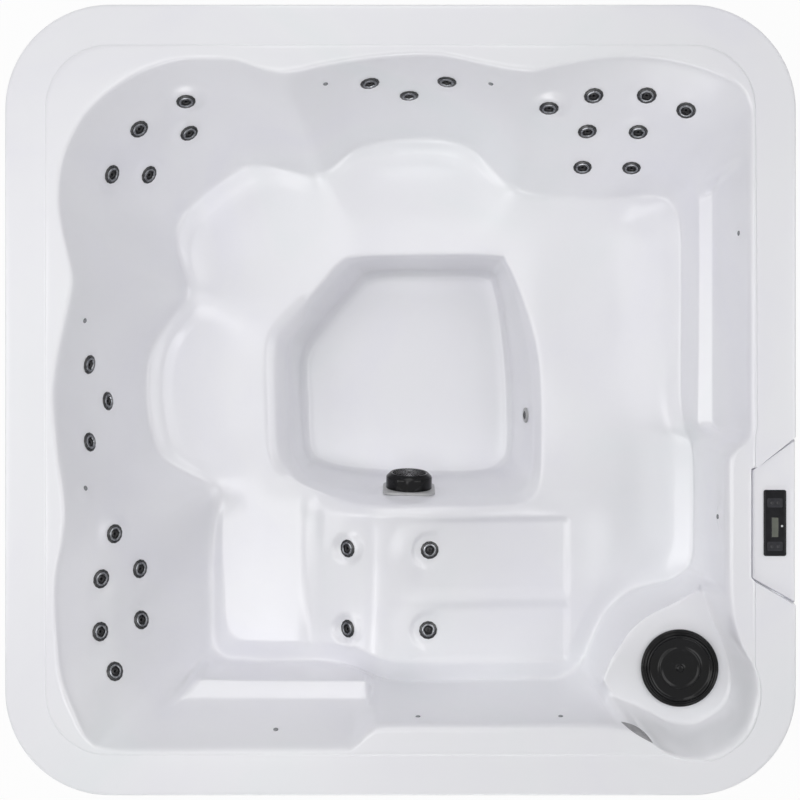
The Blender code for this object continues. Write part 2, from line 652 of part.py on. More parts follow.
def tube(path, radius, sides):
    """A round bar along the path, with flat ends."""
    path = [Vector(point) for point in path]
    ways = [(b - a).normalized() for a, b in zip(path, path[1:])]
    mesh = bmesh.new()
    rings = []
    side = ways[0].orthogonal().normalized()
    for i, point in enumerate(path):
        before = ways[max(i - 1, 0)]
        after = ways[min(i, len(ways) - 1)]
        way = (before + after).normalized()
        side = (side - way * side.dot(way)).normalized()
        up = way.cross(side)
        stretch = 1.0 / max(way.dot(after), 0.5)
        bend = (after - before).normalized() if (after - before).length > 1e-6 else None
        ring = []
        for k in range(sides):
            turn = 2 * math.pi * k / sides
            out = (side * math.cos(turn) + up * math.sin(turn)) * radius
            if bend:
                out += bend * out.dot(bend) * (stretch - 1.0)
            ring.append(mesh.verts.new(point + out))
        rings.append(ring)
    for lower, upper in zip(rings, rings[1:]):
        for k in range(sides):
            j = (k + 1) % sides
            mesh.faces.new((lower[k], lower[j], upper[j], upper[k]))
    mesh.faces.new(rings[0])
    mesh.faces.new(rings[-1])
    bmesh.ops.recalc_face_normals(mesh, faces=mesh.faces)
    return mesh


def joined(meshes):
    """One mesh of several, which stay separate bodies in it."""
    whole = bmesh.new()
    for mesh in meshes:
        data = bpy.data.meshes.new("joined")
        mesh.to_mesh(data)
        mesh.free()
        whole.from_mesh(data)
        bpy.data.meshes.remove(data)
    return whole


def add_helper(name, mesh, smooth):
    """A cutter, or a piece that is united with another object: it isn't part of the tub by itself."""
    helper = add_object(name, mesh, "helper", FITTING_GREY, smooth)
    helper.hide_render = True
    helper.display_type = "WIRE"
    return helper


def combine(made, name, mesh, operation, smooth):
    change = made.modifiers.new(name, "BOOLEAN")
    change.operation = operation
    change.solver = "EXACT"
    change.object = add_helper(name, mesh, smooth)


def cut(made, name, meshes):
    """Cuts the meshes out. They are shaded flat, so that the edges of the holes stay sharp."""
    combine(made, name, joined(meshes), "DIFFERENCE", False)


def unite(made, name, meshes):
    combine(made, name, joined(meshes), "UNION", True)


def plan(share, height=0.0):
    return Vector((share[0] * TUB_HALF, share[1] * TUB_HALF, height))


def axis_frame(place, normal):
    """A matrix whose Z runs along the normal from the place."""
    return Matrix.Translation(place) @ normal.to_track_quat("Z", "Y").to_matrix().to_4x4()


class Surface:
    """The shell's wet side, on which the fittings are seated."""

    def __init__(self, mesh):
        self.tree = BVHTree.FromBMesh(mesh)

    def seat(self, start, way, radius, lean_deg=0.0):
        """The frame of a round fitting where the ray meets the surface, just clear of the facets under it."""
        place, normal, _, _ = self.tree.ray_cast(start, way)
        if normal.dot(way) > 0:
            normal = -normal
        if lean_deg:
            normal = Matrix.Rotation(math.radians(-lean_deg), 3, "Y") @ normal
        frame = axis_frame(place, normal)
        back = frame.inverted()
        lift = 0.0
        for share in SEAT_TEST_SHARES:
            for k in range(SEAT_TESTS):
                turn = 2 * math.pi * k / SEAT_TESTS
                reach = radius * share
                above = frame @ Vector((reach * math.cos(turn), reach * math.sin(turn), radius))
                hit = self.tree.ray_cast(above, -normal)[0]
                if hit:
                    lift = max(lift, (back @ hit).z)
        return Matrix.Translation(normal * lift) @ frame

    def seat_below(self, share, radius, lean_deg=0.0):
        return self.seat(plan(share, 2 * TUB_HEIGHT), Vector((0, 0, -1)), radius, lean_deg)

    def seat_beside(self, share, height, radius):
        centre = plan(FAN_CENTRE_SHARE, height)
        return self.seat(centre, (plan(share, height) - centre).normalized(), radius)


def jet_frames(surface):
    """The frame of each jet by name, and the names of each manifold's jets."""
    frames = {}
    groups = {}
    for manifold, rows in JET_SEAT_SHARES.items():
        groups[manifold] = []
        for row, places in rows.items():
            for number, share in enumerate(places, 1):
                name = f"{row}_{number}"
                lean = JET_LEAN_DEG if name in LEANING_JETS else 0.0
                frames[name] = surface.seat_below(share, JET_FACE_RADIUS, lean)
                groups[manifold].append(name)
    return frames, groups


def make_shell(surface, frames):
    shell = add_object("acrylic_shell", shell_surface(), "acrylic", ACRYLIC_WHITE)
    wall = shell.modifiers.new("wall", "SOLIDIFY")
    wall.thickness = SHELL_WALL
    wall.offset = -1.0
    wall.use_even_offset = True
    through = SHELL_WALL + CUT_OVERRUN
    holes = [(frame, JET_HOLE_RADIUS, JET_SIDES) for frame in frames.values()]
    holes += [(frame, LIGHT_HOLE_RADIUS, LIGHT_SIDES) for frame in light_frames(surface)]
    holes.append((filter_frame(), CANISTER_RADIUS + FIT_GAP, FILTER_SIDES))
    holes.append((suction_frame(surface), SUCTION_SPIGOT_RADIUS + FIT_GAP, SUCTION_SIDES))
    holes.append((return_frame(surface), RETURN_STEM_RADIUS + FIT_GAP, RETURN_SIDES))
    cutters = [cylinder(radius, -through, CUT_OVERRUN, sides, frame) for frame, radius, sides in holes]
    width = PANEL_WIDTH - 2 * (PANEL_BODY_MARGIN - FIT_GAP)
    length = PANEL_LENGTH - 2 * (PANEL_BODY_MARGIN - FIT_GAP)
    cutters.append(slab(panel_centre() + Vector((0, 0, through)), width, length, 2 * through))
    cut(shell, "shell_holes", cutters)


def make_jets(frames):
    """The turning face of each jet: its flange stands just off the shell, and its stem goes through it."""
    profile = (
        (0, -JET_STEM_REACH),
        (JET_STEM_RADIUS, -JET_STEM_REACH),
        (JET_STEM_RADIUS, FIT_GAP),
        (JET_FACE_RADIUS, FIT_GAP),
        (JET_FACE_RADIUS, JET_EDGE_THICKNESS),
        (JET_NOZZLE_RADIUS, JET_FACE_THICKNESS),
        (0, JET_FACE_THICKNESS - JET_NOZZLE_DEPTH),
    )
    for name, frame in frames.items():
        jet = add_object(name, turned(profile, JET_SIDES), "jet_black", JET_BLACK)
        jet.matrix_world = frame


def header_point(degrees, height):
    angle = np.radians([degrees])
    reach = outline(HEADER_INSET, angle)[0]
    centre = fan_centre()
    return Vector((centre[0] + reach * math.cos(angle[0]), centre[1] + reach * math.sin(angle[0]), height))


def header_path(span):
    start, end = span
    count = max(2, round((end - start) / HEADER_STEP_DEG))
    height = TUB_HEIGHT - HEADER_DEPTH
    path = [header_point(start + (end - start) * i / count, height) for i in range(count + 1)]
    path[0] += (path[1] - path[0]).normalized() * HEADER_BREAK
    path[-1] += (path[-2] - path[-1]).normalized() * HEADER_BREAK
    return path


def nearest_on(path, point):
    """The nearest place on the path to the point."""
    best = None
    for a, b in zip(path, path[1:]):
        way = b - a
        share = (point - a).dot(way) / way.length_squared
        place = a + way * min(max(share, BRANCH_END_SHARE), 1.0 - BRANCH_END_SHARE)
        if best is None or (place - point).length < (best - point).length:
            best = place
    return best


def make_manifold(name, frames, jets):
    """A header pipe with a body behind each jet and a branch to each body, all solvent-welded."""
    path = header_path(HEADER_SPANS_DEG[name])
    legs = [jet for jet in jets if jet.startswith("lounge_leg")]
    if name == "captain":
        outlet = heater_inlet() + Vector((0, HEATER_LENGTH + FIT_GAP, 0))
        drop = Vector((path[0].x, path[0].y, outlet.z))
        path = [outlet, Vector((outlet.x, drop.y, outlet.z)), drop, *path]
    if legs:
        places = [frames[jet].translation for jet in legs]
        low = min(place.x for place in places)
        high = max(place.x for place in places)
        middle = sum(place.y for place in places) / len(places)
        height = TUB_HEIGHT - SEAT_DEPTH - LEG_HEADER_DROP
        path += [
            Vector((path[-1].x, path[-1].y, height)),
            Vector((low - HEADER_INSET, middle, height)),
            Vector((high, middle, height)),
        ]
    header = add_object(f"{name}_manifold", tube(path, HEADER_RADIUS, HEADER_SIDES), "pipe_white", PIPE_WHITE)
    pieces = []
    top = -JET_STEM_REACH - FIT_GAP
    for jet in jets:
        frame = frames[jet]
        pieces.append(cylinder(JET_BODY_RADIUS, top - JET_BODY_LENGTH, top, JET_BODY_SIDES, frame))
        start = frame @ Vector((0, 0, top - JET_BODY_LENGTH / 2))
        end = nearest_on(path, start)
        pieces.append(tube((start, end), BRANCH_RADIUS, BRANCH_SIDES))
    for number, piece in enumerate(pieces):
        unite(header, f"{name}_manifold_piece_{number}", [piece])


def light_frames(surface):
    height = TUB_HEIGHT - LIGHT_DEPTH
    return [surface.seat_beside(share, height, LIGHT_LENS_RADIUS) for share in LIGHT_PLACE_SHARES]


def make_light_string(surface):
    """The nine lights and the cable that joins them behind the wall."""
    frames = light_frames(surface)
    height = TUB_HEIGHT - LIGHT_DEPTH
    centre = plan(FAN_CENTRE_SHARE, height)
    stops = [frame @ Vector((0, 0, -LIGHT_STEM_REACH)) for frame in frames]
    turns = [math.atan2((stop - centre).y, (stop - centre).x) for stop in stops]
    path = []
    for stop, start, end in zip(stops, turns, turns[1:]):
        sweep = (end - start) % (2 * math.pi)
        count = max(1, round(sweep / math.radians(HEADER_STEP_DEG)))
        path.append(stop)
        for i in range(1, count):
            turn = start + sweep * i / count
            reach = outline(LIGHT_CABLE_INSET, np.array([turn]))[0]
            path.append(centre + Vector((reach * math.cos(turn), reach * math.sin(turn), 0)))
    path.append(stops[-1])
    cable = tube(path, LIGHT_CABLE_RADIUS, LIGHT_CABLE_SIDES)
    string = add_object("perimeter_light_string", cable, "cable_black", CABLE_BLACK)
    profile = (
        (0, -LIGHT_STEM_REACH - LIGHT_CABLE_RADIUS / 2),
        (LIGHT_STEM_RADIUS, -LIGHT_STEM_REACH - LIGHT_CABLE_RADIUS / 2),
        (LIGHT_STEM_RADIUS, FIT_GAP),
        (LIGHT_LENS_RADIUS, FIT_GAP),
        (0, LIGHT_LENS_THICKNESS),
    )
    unite(string, "light_lenses", [turned(profile, LIGHT_SIDES, frame) for frame in frames])


def panel_centre():
    return Vector((TUB_HALF - PANEL_INSET, PANEL_PLACE_SHARE * TUB_HALF, TUB_HEIGHT - POD_DROP))


def button_places():
    """Places of the four buttons from the panel's centre, by name."""
    half = BUTTON_SPREAD / 2
    return {
        "panel_button_1": (-half, BUTTON_UPPER),
        "panel_button_2": (half, BUTTON_UPPER),
        "panel_button_3": (-half, -BUTTON_LOWER),
        "panel_button_4": (half, -BUTTON_LOWER),
    }


def make_panel():
    """The control panel: a bezel on the pod, its body through the rim, a window and four buttons."""
    face = panel_centre() + Vector((0, 0, FIT_GAP + PANEL_THICKNESS))
    bezel = slab(face, PANEL_WIDTH, PANEL_LENGTH, PANEL_THICKNESS)
    housing = add_object("control_panel_housing", bezel, "panel_black", PANEL_BLACK)
    width = PANEL_WIDTH - 2 * PANEL_BODY_MARGIN
    length = PANEL_LENGTH - 2 * PANEL_BODY_MARGIN
    body_face = face - Vector((0, 0, PANEL_THICKNESS / 2))
    unite(housing, "panel_body", [slab(body_face, width, length, PANEL_BODY_DEPTH)])
    window_face = face - Vector((0, WINDOW_SHIFT, 0))
    pocket_face = window_face + Vector((0, 0, CUT_OVERRUN))
    width = WINDOW_WIDTH + 2 * FIT_GAP
    length = WINDOW_LENGTH + 2 * FIT_GAP
    cutters = [slab(pocket_face, width, length, CUT_OVERRUN + WINDOW_THICKNESS + FIT_GAP)]
    for x, y in button_places().values():
        frame = Matrix.Translation(face + Vector((x, y, 0)))
        cutters.append(cylinder(BUTTON_RADIUS + FIT_GAP, -BUTTON_POCKET, CUT_OVERRUN, BUTTON_SIDES, frame))
    cut(housing, "panel_pockets", cutters)
    pane = slab(window_face, WINDOW_WIDTH, WINDOW_LENGTH, WINDOW_THICKNESS)
    add_object("panel_window", pane, "window_grey", WINDOW_GREY)
    low = BUTTON_TRAVEL + FIT_GAP - BUTTON_POCKET
    for name, (x, y) in button_places().items():
        cap = cylinder(BUTTON_RADIUS, low, low + BUTTON_HEIGHT, BUTTON_SIDES)
        button = add_object(name, cap, "button_grey", BUTTON_GREY)
        button.matrix_world = Matrix.Translation(face + Vector((x, y, 0)))


def filter_frame():
    return Matrix.Translation(plan(FILTER_PLACE_SHARE, TUB_HEIGHT - LEDGE_DEPTH))


def make_filter():
    """The canister let into the ledge, its lid, and the cartridge that stands in it."""
    frame = filter_frame()
    flange_top = FIT_GAP + CANISTER_FLANGE_THICKNESS
    inner = CANISTER_RADIUS - CANISTER_WALL
    bottom = -CANISTER_DEPTH
    profile = (
        (0, bottom - CANISTER_WALL),
        (CANISTER_RADIUS, bottom - CANISTER_WALL),
        (CANISTER_RADIUS, FIT_GAP),
        (CANISTER_FLANGE_RADIUS, FIT_GAP),
        (CANISTER_FLANGE_RADIUS, flange_top),
        (inner, flange_top),
        (inner, bottom),
        (0, bottom),
    )
    add_object("filter_housing", turned(profile, FILTER_SIDES, frame), "fitting_grey", FITTING_GREY)
    base = flange_top + FIT_GAP
    spigot = inner - FIT_GAP
    lid_profile = (
        (0, base),
        (spigot - LID_SPIGOT_WALL, base),
        (spigot - LID_SPIGOT_WALL, base - LID_SPIGOT),
        (spigot, base - LID_SPIGOT),
        (spigot, base),
        (LID_RADIUS, base),
        (LID_RADIUS, base + LID_THICKNESS / 2),
        (LID_RADIUS - LID_RING / 2, base + LID_THICKNESS),
        (LID_RADIUS - LID_RING, base + LID_THICKNESS / 2),
        (LID_KNOB_RADIUS, base + LID_THICKNESS),
        (LID_KNOB_RADIUS, base + LID_THICKNESS + LID_KNOB_HEIGHT),
        (0, base + LID_THICKNESS + LID_KNOB_HEIGHT),
    )
    lid = add_object("filter_lid", turned(lid_profile, FILTER_SIDES), "lid_black", LID_BLACK)
    lid.matrix_world = frame
    foot = bottom + FIT_GAP
    cartridge_profile = (
        (0, foot),
        (CARTRIDGE_RADIUS, foot),
        (CARTRIDGE_RADIUS, foot + CARTRIDGE_LENGTH),
        (CARTRIDGE_HANDLE_RADIUS, foot + CARTRIDGE_LENGTH),
        (CARTRIDGE_HANDLE_RADIUS, foot + CARTRIDGE_LENGTH + CARTRIDGE_HANDLE_HEIGHT),
        (0, foot + CARTRIDGE_LENGTH + CARTRIDGE_HANDLE_HEIGHT),
    )
    pleats = turned(cartridge_profile, EQUIPMENT_SIDES)
    cartridge = add_object("filter_cartridge", pleats, "cartridge_cream", CARTRIDGE_CREAM)
    cartridge.matrix_world = frame


def suction_frame(surface):
    height = TUB_HEIGHT - SEAT_DEPTH - SUCTION_DROP
    return surface.seat_beside((FAN_CENTRE_SHARE[0], -1.0), height, SUCTION_FLANGE_RADIUS)


def return_frame(surface):
    turn = math.radians(RETURN_ANGLE_DEG)
    share = (FAN_CENTRE_SHARE[0] + math.cos(turn), FAN_CENTRE_SHARE[1] + math.sin(turn))
    return surface.seat_beside(share, TUB_HEIGHT - SEAT_DEPTH - RETURN_DROP, RETURN_RADIUS)


def pump_centre():
    return plan(PUMP_PLACE_SHARE, BASE_THICKNESS + PUMP_CLEARANCE + VOLUTE_RADIUS)


def pump_port_front():
    """The face of the pump's axial inlet."""
    return pump_centre() - Vector((0, VOLUTE_LENGTH / 2 + PORT_LENGTH + FIT_GAP, 0))


def make_suction(surface):
    """The footwell's suction: a wall flange with its hose to the pump, and the domed cover over it."""
    frame = suction_frame(surface)
    reach = SHELL_WALL + 2 * SUCTION_SPIGOT_RADIUS
    profile = (
        (0, -reach),
        (SUCTION_SPIGOT_RADIUS, -reach),
        (SUCTION_SPIGOT_RADIUS, FIT_GAP),
        (SUCTION_FLANGE_RADIUS, FIT_GAP),
        (SUCTION_FLANGE_RADIUS, SUCTION_FLANGE_THICKNESS),
        (0, SUCTION_FLANGE_THICKNESS),
    )
    body = add_object("suction_body", turned(profile, SUCTION_SIDES, frame), "fitting_grey", FITTING_GREY)
    start = frame @ Vector((0, 0, -reach + SUCTION_SPIGOT_RADIUS / 2))
    port = pump_port_front()
    path = (
        start,
        frame @ Vector((0, 0, -reach - HOSE_BEND)),
        port - Vector((HOSE_BEND, HOSE_BEND, 0)),
        port - Vector((0, HOSE_BEND, 0)),
        port,
    )
    unite(body, "suction_hose", [tube(path, HOSE_RADIUS, HOSE_SIDES)])
    top = SUCTION_FLANGE_THICKNESS + FIT_GAP
    cover_profile = (
        (0, top),
        (SUCTION_COVER_RADIUS, top),
        (SUCTION_COVER_RADIUS, top + SUCTION_COVER_DEPTH - SUCTION_COVER_EDGE),
        (SUCTION_COVER_RADIUS - SUCTION_COVER_EDGE, top + SUCTION_COVER_DEPTH),
        (0, top + SUCTION_COVER_DEPTH),
    )
    add_object("suction_cover", turned(cover_profile, SUCTION_SIDES, frame), "lid_black", LID_BLACK)


def make_return(surface):
    """The small return fitting, with its hose from the heater."""
    frame = return_frame(surface)
    reach = SHELL_WALL + 2 * RETURN_STEM_RADIUS
    profile = (
        (0, -reach),
        (RETURN_STEM_RADIUS, -reach),
        (RETURN_STEM_RADIUS, FIT_GAP),
        (RETURN_RADIUS, FIT_GAP),
        (RETURN_RADIUS, RETURN_THICKNESS),
        (0, RETURN_THICKNESS),
    )
    fitting = add_object("return_fitting", turned(profile, RETURN_SIDES, frame), "fitting_grey", FITTING_GREY)
    start = frame @ Vector((0, 0, -reach / 2))
    end = heater_inlet() + Vector((-HEATER_RADIUS - FIT_GAP, HEATER_LENGTH / 2, 0))
    knee = Vector(((start.x + end.x) / 2, end.y, end.z))
    unite(fitting, "return_hose", [tube((start, knee, end), RETURN_STEM_RADIUS, HOSE_SIDES)])


def heater_inlet():
    """The middle of the heater's inlet face, over the motor."""
    rise = MOTOR_RADIUS + HEATER_CLEARANCE + HEATER_FLANGE_RADIUS
    return pump_centre() + Vector((0, VOLUTE_LENGTH, rise))


def along_y(place):
    """A frame at the place whose Z runs along +Y."""
    return Matrix.Translation(place) @ Matrix.Rotation(math.radians(-90.0), 4, "X")


def make_pump():
    """The pump: a volute with its inlets and outlet, the motor behind it on a foot, and the cooling rotor."""
    centre = pump_centre()
    frame = along_y(centre)
    front = -VOLUTE_LENGTH / 2
    back = VOLUTE_LENGTH / 2
    profile = (
        (0, front),
        (VOLUTE_RADIUS, front),
        (VOLUTE_RADIUS, back),
        (MOTOR_RADIUS, back),
        (MOTOR_RADIUS, back + MOTOR_LENGTH),
        (0, back + MOTOR_LENGTH),
    )
    pump = add_object("jet_pump", turned(profile, EQUIPMENT_SIDES, frame), "pump_black", PUMP_BLACK)
    inlet = cylinder(PORT_RADIUS, front - PORT_LENGTH, 0, HOSE_SIDES, frame)
    unite(pump, "pump_inlet", [inlet])
    outlet = filter_frame() @ Vector((0, 0, -CANISTER_DEPTH - CANISTER_WALL - FIT_GAP))
    beside = centre + Vector((VOLUTE_RADIUS + HOSE_BEND, 0, 0))
    path = (
        centre,
        beside,
        Vector((beside.x, outlet.y + HOSE_BEND, centre.z)),
        Vector((outlet.x, outlet.y, outlet.z - HOSE_BEND)),
        outlet,
    )
    unite(pump, "filter_hose", [tube(path, HOSE_RADIUS, HOSE_SIDES)])
    heater_face = heater_inlet() - Vector((0, FIT_GAP, 0))
    elbow = Vector((heater_face.x, centre.y, heater_face.z))
    unite(pump, "pump_outlet", [tube((centre, elbow, heater_face), PORT_RADIUS, HOSE_SIDES)])
    foot_low = Vector((centre.x - FOOT_WIDTH / 2, centre.y - VOLUTE_LENGTH / 4, BASE_THICKNESS + FIT_GAP))
    foot_end = centre.y + back + MOTOR_LENGTH * FOOT_END_SHARE
    foot_high = Vector((centre.x + FOOT_WIDTH / 2, foot_end, centre.z - MOTOR_RADIUS / 2))
    unite(pump, "pump_foot", [block(foot_low, foot_high)])
    rotor_profile = (
        (0, back + MOTOR_LENGTH + FIT_GAP),
        (ROTOR_HUB_RADIUS, back + MOTOR_LENGTH + FIT_GAP),
        (ROTOR_HUB_RADIUS, back + MOTOR_LENGTH + ROTOR_HUB_LENGTH),
        (ROTOR_RADIUS, back + MOTOR_LENGTH + ROTOR_HUB_LENGTH),
        (ROTOR_RADIUS, back + MOTOR_LENGTH + ROTOR_HUB_LENGTH + ROTOR_THICKNESS),
        (0, back + MOTOR_LENGTH + ROTOR_HUB_LENGTH + ROTOR_THICKNESS),
    )
    rotor = add_object("pump_rotor", turned(rotor_profile, EQUIPMENT_SIDES), "pump_black", PUMP_BLACK)
    rotor.matrix_world = frame


def make_heater():
    """The heater tube with a flange at each end."""
    frame = along_y(heater_inlet())
    profile = (
        (0, 0),
        (HEATER_FLANGE_RADIUS, 0),
        (HEATER_FLANGE_RADIUS, HEATER_FLANGE),
        (HEATER_RADIUS, HEATER_FLANGE),
        (HEATER_RADIUS, HEATER_LENGTH - HEATER_FLANGE),
        (HEATER_FLANGE_RADIUS, HEATER_LENGTH - HEATER_FLANGE),
        (HEATER_FLANGE_RADIUS, HEATER_LENGTH),
        (0, HEATER_LENGTH),
    )
    add_object("heater_tube", turned(profile, EQUIPMENT_SIDES, frame), "heater_steel", HEATER_STEEL)


def make_control_box():
    """The control box on the base, with a gland for the supply cable in its end."""
    low = plan(CONTROL_BOX_PLACE_SHARE, BASE_THICKNESS + FIT_GAP)
    width, length, height = CONTROL_BOX_SIZE
    low -= Vector((width / 2, length / 2, 0))
    high = low + Vector((width, length, height))
    box = add_object("control_box", block(low, high), "box_grey", BOX_GREY, smooth=False)
    middle = (low + high) / 2
    gland = cylinder(GLAND_RADIUS, 0, length / 2 + GLAND_LENGTH, BUTTON_SIDES, along_y(middle))
    unite(box, "supply_gland", [gland])


def square_path(inset, start, end):
    """Points round the tub's rounded square, drawn in by inset, between two numbers of quarters turned."""
    half = TUB_HALF - inset
    radius = CORNER_RADIUS - inset
    corner = half - radius
    points = []
    for quarter in range(start, end):
        middle = Matrix.Rotation(quarter * math.pi / 2, 2) @ Vector((corner, corner))
        for step in range(CORNER_STEPS + 1):
            turn = (quarter + step / CORNER_STEPS) * math.pi / 2
            points.append(Vector((middle.x + radius * math.cos(turn), middle.y + radius * math.sin(turn), 0)))
    return points


def upright(outer, inner, low, high, closed):
    """A wall between two plan outlines that have as many points, from one height to another."""
    mesh = bmesh.new()
    corners = []
    for a, b in zip(outer, inner):
        corners.append([mesh.verts.new((p.x, p.y, z)) for p, z in ((a, low), (a, high), (b, high), (b, low))])
    last = len(corners) if closed else len(corners) - 1
    for i in range(last):
        here, there = corners[i], corners[(i + 1) % len(corners)]
        for k in range(4):
            mesh.faces.new((here[k], there[k], there[(k + 1) % 4], here[(k + 1) % 4]))
    if not closed:
        mesh.faces.new(corners[0])
        mesh.faces.new(corners[-1])
    bmesh.ops.recalc_face_normals(mesh, faces=mesh.faces)
    return mesh


def make_base():
    mesh = bmesh.new()
    outline_points = square_path(BASE_INSET, 0, 4)
    face = mesh.faces.new([mesh.verts.new(point) for point in outline_points])
    raised = bmesh.ops.extrude_face_region(mesh, geom=[face])
    bmesh.ops.translate(
        mesh,
        verts=[item for item in raised["geom"] if isinstance(item, bmesh.types.BMVert)],
        vec=(0, 0, BASE_THICKNESS),
    )
    bmesh.ops.recalc_face_normals(mesh, faces=mesh.faces)
    add_object("base_pan", mesh, "base_black", BASE_BLACK)


def cabinet_panel(quarter):
    """One side of the cabinet with the corner after it, seen from above against the clock."""
    walls = []
    for inset in (CABINET_INSET, CABINET_INSET + CABINET_WALL):
        corner = square_path(inset, quarter, quarter + 1)
        before = square_path(inset, quarter - 1, quarter)[-1]
        way = (corner[0] - before).normalized()
        walls.append([before + way * CABINET_SEAM, *corner])
    low = BASE_THICKNESS + FIT_GAP
    return upright(walls[0], walls[1], low, TUB_HEIGHT - LIP_DROP + CABINET_TOP_DROP, False)


def make_cabinet():
    names = ("cabinet_panel_right", "cabinet_panel_back", "cabinet_panel_left", "cabinet_panel_front")
    for quarter, name in enumerate(names):
        panel = add_object(name, cabinet_panel(quarter), "cabinet_grey", CABINET_GREY)
        if name == "cabinet_panel_front":
            deep = -CUT_OVERRUN - CABINET_WALL
            hole = cylinder(DRAIN_RADIUS + FIT_GAP, deep, CUT_OVERRUN, BUTTON_SIDES, drain_frame())
            cut(panel, "drain_hole", [hole])


def make_frame():
    """The cabinet's steel frame: a rail round the top and the bottom, and eight posts between them."""
    outer = square_path(FRAME_INSET, 0, 4)
    inner = square_path(FRAME_INSET + FRAME_SECTION, 0, 4)
    low = BASE_THICKNESS + FIT_GAP
    top = TUB_HEIGHT - POD_DROP - SHELL_WALL - FRAME_TOP
    rail = upright(outer, inner, top - FRAME_SECTION, top, True)
    frame = add_object("cabinet_frame", rail, "frame_steel", FRAME_STEEL, smooth=False)
    unite(frame, "bottom_rail", [upright(outer, inner, low, low + FRAME_SECTION, True)])
    posts = []
    near = TUB_HALF - FRAME_INSET - FRAME_SECTION
    far = TUB_HALF - FRAME_INSET
    half = FRAME_SECTION / 2
    for quarter in range(4):
        turn = Matrix.Rotation(quarter * math.pi / 2, 4, "Z")
        for share in POST_SHARES:
            along = share * TUB_HALF
            corner = (near + FIT_GAP, along - half, low + half)
            post = block(corner, (far - FIT_GAP, along + half, top - half))
            post.transform(turn)
            posts.append(post)
    unite(frame, "posts", posts)
    notch = slab(panel_centre(), 2 * PANEL_WIDTH, PANEL_LENGTH, PANEL_BODY_DEPTH + BUTTON_RADIUS)
    cut(frame, "panel_notch", [notch])


def drain_frame():
    """The drain's frame on the front panel's face, with Z out of the cabinet."""
    place = Vector((DRAIN_PLACE_SHARE * TUB_HALF, -(TUB_HALF - CABINET_INSET), DRAIN_HEIGHT))
    return Matrix.Translation(place) @ Matrix.Rotation(math.radians(90.0), 4, "X")


def make_drain():
    """The drain valve through the front panel, and its cap."""
    frame = drain_frame()
    profile = (
        (0, -DRAIN_TAIL),
        (DRAIN_RADIUS, -DRAIN_TAIL),
        (DRAIN_RADIUS, FIT_GAP),
        (DRAIN_FLANGE_RADIUS, FIT_GAP),
        (DRAIN_FLANGE_RADIUS, DRAIN_FLANGE),
        (0, DRAIN_FLANGE),
    )
    add_object("drain_valve", turned(profile, BUTTON_SIDES, frame), "fitting_grey", FITTING_GREY)
    face = DRAIN_FLANGE + FIT_GAP
    cap_profile = (
        (0, face),
        (DRAIN_CAP_RADIUS, face),
        (DRAIN_CAP_RADIUS, face + DRAIN_CAP_THICKNESS / 2),
        (0, face + DRAIN_CAP_THICKNESS / 2),
    )
    cap = add_object("drain_cap", turned(cap_profile, BUTTON_SIDES), "jet_black", JET_BLACK)
    cap.matrix_world = frame
    grip = block(
        (-DRAIN_GRIP_LENGTH / 2, -DRAIN_GRIP_WIDTH / 2, face + DRAIN_CAP_THICKNESS / 4),
        (DRAIN_GRIP_LENGTH / 2, DRAIN_GRIP_WIDTH / 2, face + DRAIN_CAP_THICKNESS),
    )
    grip.transform(frame)
    unite(cap, "drain_grip", [grip])


def main():
    clear_scene()
    surface = Surface(shell_surface())
    frames, groups = jet_frames(surface)
    make_shell(surface, frames)
    make_jets(frames)
    for name, jets in groups.items():
        make_manifold(name, frames, jets)
    make_light_string(surface)
    make_panel()
    make_filter()
    make_suction(surface)
    make_return(surface)
    make_pump()
    make_heater()
    make_control_box()
    make_frame()
    make_cabinet()
    make_base()
    make_drain()


main()
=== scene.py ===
"""Looks of the square acrylic hot tub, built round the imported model. Metres, +Z up, origin on the floor."""

import json
from math import cos, pi, radians, sin

import bmesh
import bpy
import numpy as np
from mathutils import Matrix, Vector
from mathutils.bvhtree import BVHTree


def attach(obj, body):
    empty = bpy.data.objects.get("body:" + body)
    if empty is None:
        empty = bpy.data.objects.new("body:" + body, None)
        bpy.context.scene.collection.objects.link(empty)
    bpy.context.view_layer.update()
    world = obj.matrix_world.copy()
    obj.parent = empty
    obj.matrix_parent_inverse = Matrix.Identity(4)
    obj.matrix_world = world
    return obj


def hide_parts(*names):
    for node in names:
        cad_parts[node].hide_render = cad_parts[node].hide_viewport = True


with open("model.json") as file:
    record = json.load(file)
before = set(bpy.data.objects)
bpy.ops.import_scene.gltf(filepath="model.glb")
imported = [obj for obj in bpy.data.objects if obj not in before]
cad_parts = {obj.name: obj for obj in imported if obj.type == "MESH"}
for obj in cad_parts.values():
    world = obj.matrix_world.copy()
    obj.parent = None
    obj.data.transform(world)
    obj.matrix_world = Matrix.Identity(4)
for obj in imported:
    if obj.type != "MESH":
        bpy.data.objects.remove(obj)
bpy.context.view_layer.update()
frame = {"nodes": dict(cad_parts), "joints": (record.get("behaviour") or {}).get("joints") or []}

# Shell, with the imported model's values. The pod's groove and the footwell's shoulder are this script's own
TUB_HALF = 1.0
TUB_HEIGHT = 0.80
CORNER_RADIUS = 0.265
LIP_DROP = 0.05
LIP_WALL = 0.008
RIM_EDGE = 0.010
RIM_EDGE_DROP = 0.014
BAND_INSET = 0.098
BAND_STEP = 0.008
BAND_DROP = 0.003
POD_DROP = 0.012
POD_INSET = 0.115
POD_STEP = 0.008
POD_TURN_DEG = 5.8
POD_TOP_DEG = -13.65
POD_BOTTOM_DEG = -29.55
POD_FADE_DEG = 18.0
# Groove round the pod: its depth, where it is deepest, how much deeper it is at the pod's two ends, and the
# ends' half widths
POD_GROOVE = 0.012
POD_GROOVE_SHARE = 0.45
POD_END_GROOVE = 5.0
POD_END_DEG = (0.30, 0.20)
